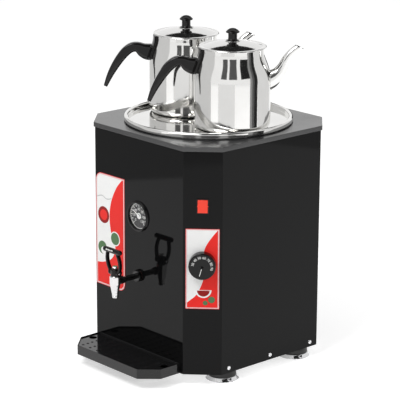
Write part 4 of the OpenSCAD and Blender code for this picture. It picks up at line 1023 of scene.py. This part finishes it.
gauge_high, dial_print, scale_end = 337.5, 196.06, 120
dial_black = coated("dial_black", (0.02, 0.02, 0.021), 0.45, 0.6, bump=0.02, speck=(0.05, 0.05, 0.05))
dress(dial_black, "gauge_dial")
dress(print_white, "gauge_needle")
dress(finish("clear_glass", (1, 1, 1), 0.02, Transmission_Weight=1.0, IOR=1.15), "gauge_glass")
bezel_place = front_face @ moved(0, 0, gauge_high) @ spun(90, "Y")
mounted(shaded(turned("gauge_bezel", (
    [(0, 183), (30.1, 183), (30.1, 198), (33.5, 198)] + arc((33.1, 199.1), 0.4, 0, 80, 3)
    + arc((29.9, 200.5), 2.5, 30, 150, 14)
    + [(27.5, 199.6), (28.1, 199.6), (28.1, 195), (25.5, 195), (25.5, 185), (0, 185)]
), black_gloss, bezel_place, 144)), "housing", "black_plastic", "gauge_case")
dial_place = facing(front_face, dial_print, gauge_high)
marks = []
for value in range(0, scale_end + 1, 5):
    inner, half = (20.4, 0.85) if value % 10 == 0 else (22.8, 0.4)
    corners = [(-half, inner), (half, inner), (half, 25.6), (-half, 25.6)]
    marks.append(flat_shape(
        "mark", corners, print_white, dial_place @ Matrix.Rotation(scale_turn(value), 4, "Z"),
    ))
for value in range(0, scale_end + 1, 20):
    marks.append(lettered(str(value), 8.2, print_white, dial_place @ on_ring(scale_turn(value), 15)))
for name, inner, outer, steps in (("dial_edge", 26, 27.3, 96), ("dial_hub", 4.2, 6.6, 48)):
    ring = [(inner, 196.02), (outer, 196.02), (outer, 196.3), (inner, 196.3)]
    marks.append(turned(name, ring, print_white, bezel_place, steps))
mounted(merged("dial_marks", marks), "housing", "needle_paint")

# -------------------------------------------- Thermostat knob
# Turned black moulding with a raised pointer and white figures on its face.

control_high, knob_face = 266, 258.94
knob_middle = chamfer_face @ moved(0, 0, control_high)
knob_body = turned("knob_body", (
    [(3.05, 257), (3.05, 257.3), (7, 257.3), (7, 241.09), (9, 241.09), (9, 256), (26.2, 256), (26.2, 241.09)]
    + [(27.9, 241.09), (28.5, 242)] + arc((25.3, 256.1), 3, 0, 90, 10) + [(24.6, 258.9), (3.05, 258.9)]
), black_gloss, knob_middle @ spun(90, "Y"), 144)
pointer_place = knob_middle @ spun(-15, "X")
rib = box_of("rib", (258.6, -0.8, -21), (259.49, 0.8, -4), black_gloss, pointer_place)
knob_turned = shaded(merged("knob_turned", [knob_body, rib]))
mounted(knob_turned, "thermostat_control", "black_plastic", "thermostat_knob")
knob_print = [box_of("pointer", (259.4, -0.65, -20.6), (259.56, 0.65, -4.4), print_white, pointer_place)]
for index, value in enumerate(range(30, 100, 10)):
    turn = math.radians(75 - 29.2 * index)
    spot = facing(chamfer_face, knob_face, control_high) @ on_ring(turn, 19.6)
    knob_print.append(lettered(str(value), 7.6, print_white, spot @ Matrix.Rotation(turn, 4, "Z")))
mounted(merged("knob_figures", knob_print), "thermostat_control", "needle_paint")

# -------------------------------------------- Rocker switch
# Black snap-in housing, and a red translucent rocker lit from inside.

rocker_red = coated(
    "rocker_red", (0.85, 0.045, 0.02), 0.2, 0.3, peel=500.0, bump=0.02,
    Emission_Color=(1.0, 0.07, 0.02, 1), Emission_Strength=0.08,
)
mounted(rounded("rocker", rocker_red, 0.5 * MM, 0.01), "switch_rocker", "red_rocker", "rocker")
mounted(rounded("rocker_housing", black_gloss, 0.4 * MM, 0.015), "housing", "black_plastic", "rocker_housing")

# -------------------------------------------- Labels
# Printed self-adhesive film. The colours lie in thin layers over the red film:
# a pale border, a white ground, a red sweep and plain round motifs.


def printed(name, color):
    """A printing ink on glossy film"""
    return coated(name, color, 0.35, 0.45, bump=0.02, speck=tuple(0.92 * c for c in color), IOR=1.25)


def clipped(shape, outline):
    """The part of a shape inside a convex outline that runs anticlockwise"""
    for i in range(len(outline)):
        a, b = Vector(outline[i - 1]), Vector(outline[i])
        away = [(b.x - a.x) * (p[1] - a.y) - (b.y - a.y) * (p[0] - a.x) for p in shape]
        kept = []
        for j in range(len(shape)):
            p, q = shape[j - 1], shape[j]
            if (away[j - 1] >= 0) != (away[j] >= 0):
                t = away[j - 1] / (away[j - 1] - away[j])
                kept.append((p[0] + t * (q[0] - p[0]), p[1] + t * (q[1] - p[1])))
            if away[j] >= 0:
                kept.append(tuple(q))
        shape = kept
    return [p for j, p in enumerate(shape) if (Vector(p) - Vector(shape[j - 1])).length > 1e-4]


def curved(points):
    """A smooth line through points, 12 steps between two of them"""
    total = (len(points) - 1) * 12
    return [tuple(smooth_line(points, i / total)) for i in range(total + 1)]


def disc(middle, radius, start=0, end=360):
    """Outline of a disc or of a part of one"""
    return arc(middle, radius, start, end, 48)[: 48 if end - start == 360 else 49]


def printing(name, face, out, corner, layers):
    """Shapes laid over each other on a label, each with its ink and its height in the stack"""
    place = face @ moved(0, corner[0], 0)
    parts = [
        flat_shape("layer", loop, ink, facing(place, out + layer_step * (height + 1), corner[1]))
        for loop, ink, height in layers
    ]
    mounted(merged(name, parts), "housing", "red_label")


def front_outline(inset):
    """The front label's outline moved in, round at its upper left and lower right corner"""
    r = 18 - inset
    return (
        [(inset, inset)] + arc((77, 18), r, -90, 0, 10)
        + [(95 - inset, 250 - inset)] + arc((18, 232), r, 90, 180, 10)
    )


layer_step = 0.04
film_red = printed("film_red", (0.84, 0.03, 0.03))
ink_pale = printed("ink_pale", (0.86, 0.6, 0.6))
ink_white = printed("ink_white", (0.94, 0.94, 0.93))
ink_red = printed("ink_red", (0.88, 0.028, 0.022))
ink_deep = printed("ink_deep", (0.3, 0.012, 0.01))
ink_green = printed("ink_green", (0.1, 0.2, 0.09))
ink_grey = printed("ink_grey", (0.6, 0.6, 0.6))
dress(film_red, "front_label", "control_label")
field = front_outline(4)
sweep = curved([(93, 252), (70, 228), (52, 195), (45, 160), (50, 122), (64, 92), (52, 66), (24, 52), (0, 48)])
ribbon = curved([(4, 196), (20, 201), (36, 196), (52, 200)])
printing("front_print", front_face, 198.5, (-139.5, 158), [
    (front_outline(1), ink_pale, 0),
    (field, ink_white, 1),
    (clipped(sweep + [(0, 0), (97, 0), (97, 252)], field), ink_red, 2),
    (clipped([(x, y - 2) for x, y in ribbon] + ribbon[::-1], field), ink_grey, 3),
    (disc((25.5, 158), 18.5), ink_deep, 3),
    (disc((25.5, 158), 12), ink_red, 4),
    (disc((63, 112), 16), ink_white, 3),
    (disc((63, 112), 13.5), ink_green, 4),
    (disc((21, 84), 14.5), ink_green, 3),
    (disc((24, 78), 8), ink_white, 4),
])
border = [(0.8, 0.8), (69.2, 0.8), (69.2, 171.7), (0.8, 171.7)]
inner = [(3.4, 3), (66.6, 3), (66.6, 169.5), (3.4, 169.5)]
wave = curved([(67, 171), (52, 152), (40, 131), (34, 100), (37, 70), (33, 52), (22, 30), (4, 14), (0, 10)])
printing("control_print", chamfer_face, 240.49, (-35, 169.5), [
    (border, ink_pale, 0),
    (inner, ink_white, 1),
    (clipped(wave + [(0, 0), (72, 0), (72, 172)], inner), ink_red, 2),
    (disc((37, 41), 17, 180, 360), ink_white, 3),
    (disc((37, 40), 13, 180, 360), ink_deep, 4),
    (disc((54, 20), 7), ink_green, 5),
    (disc((41, 13), 5), ink_green, 5),
])
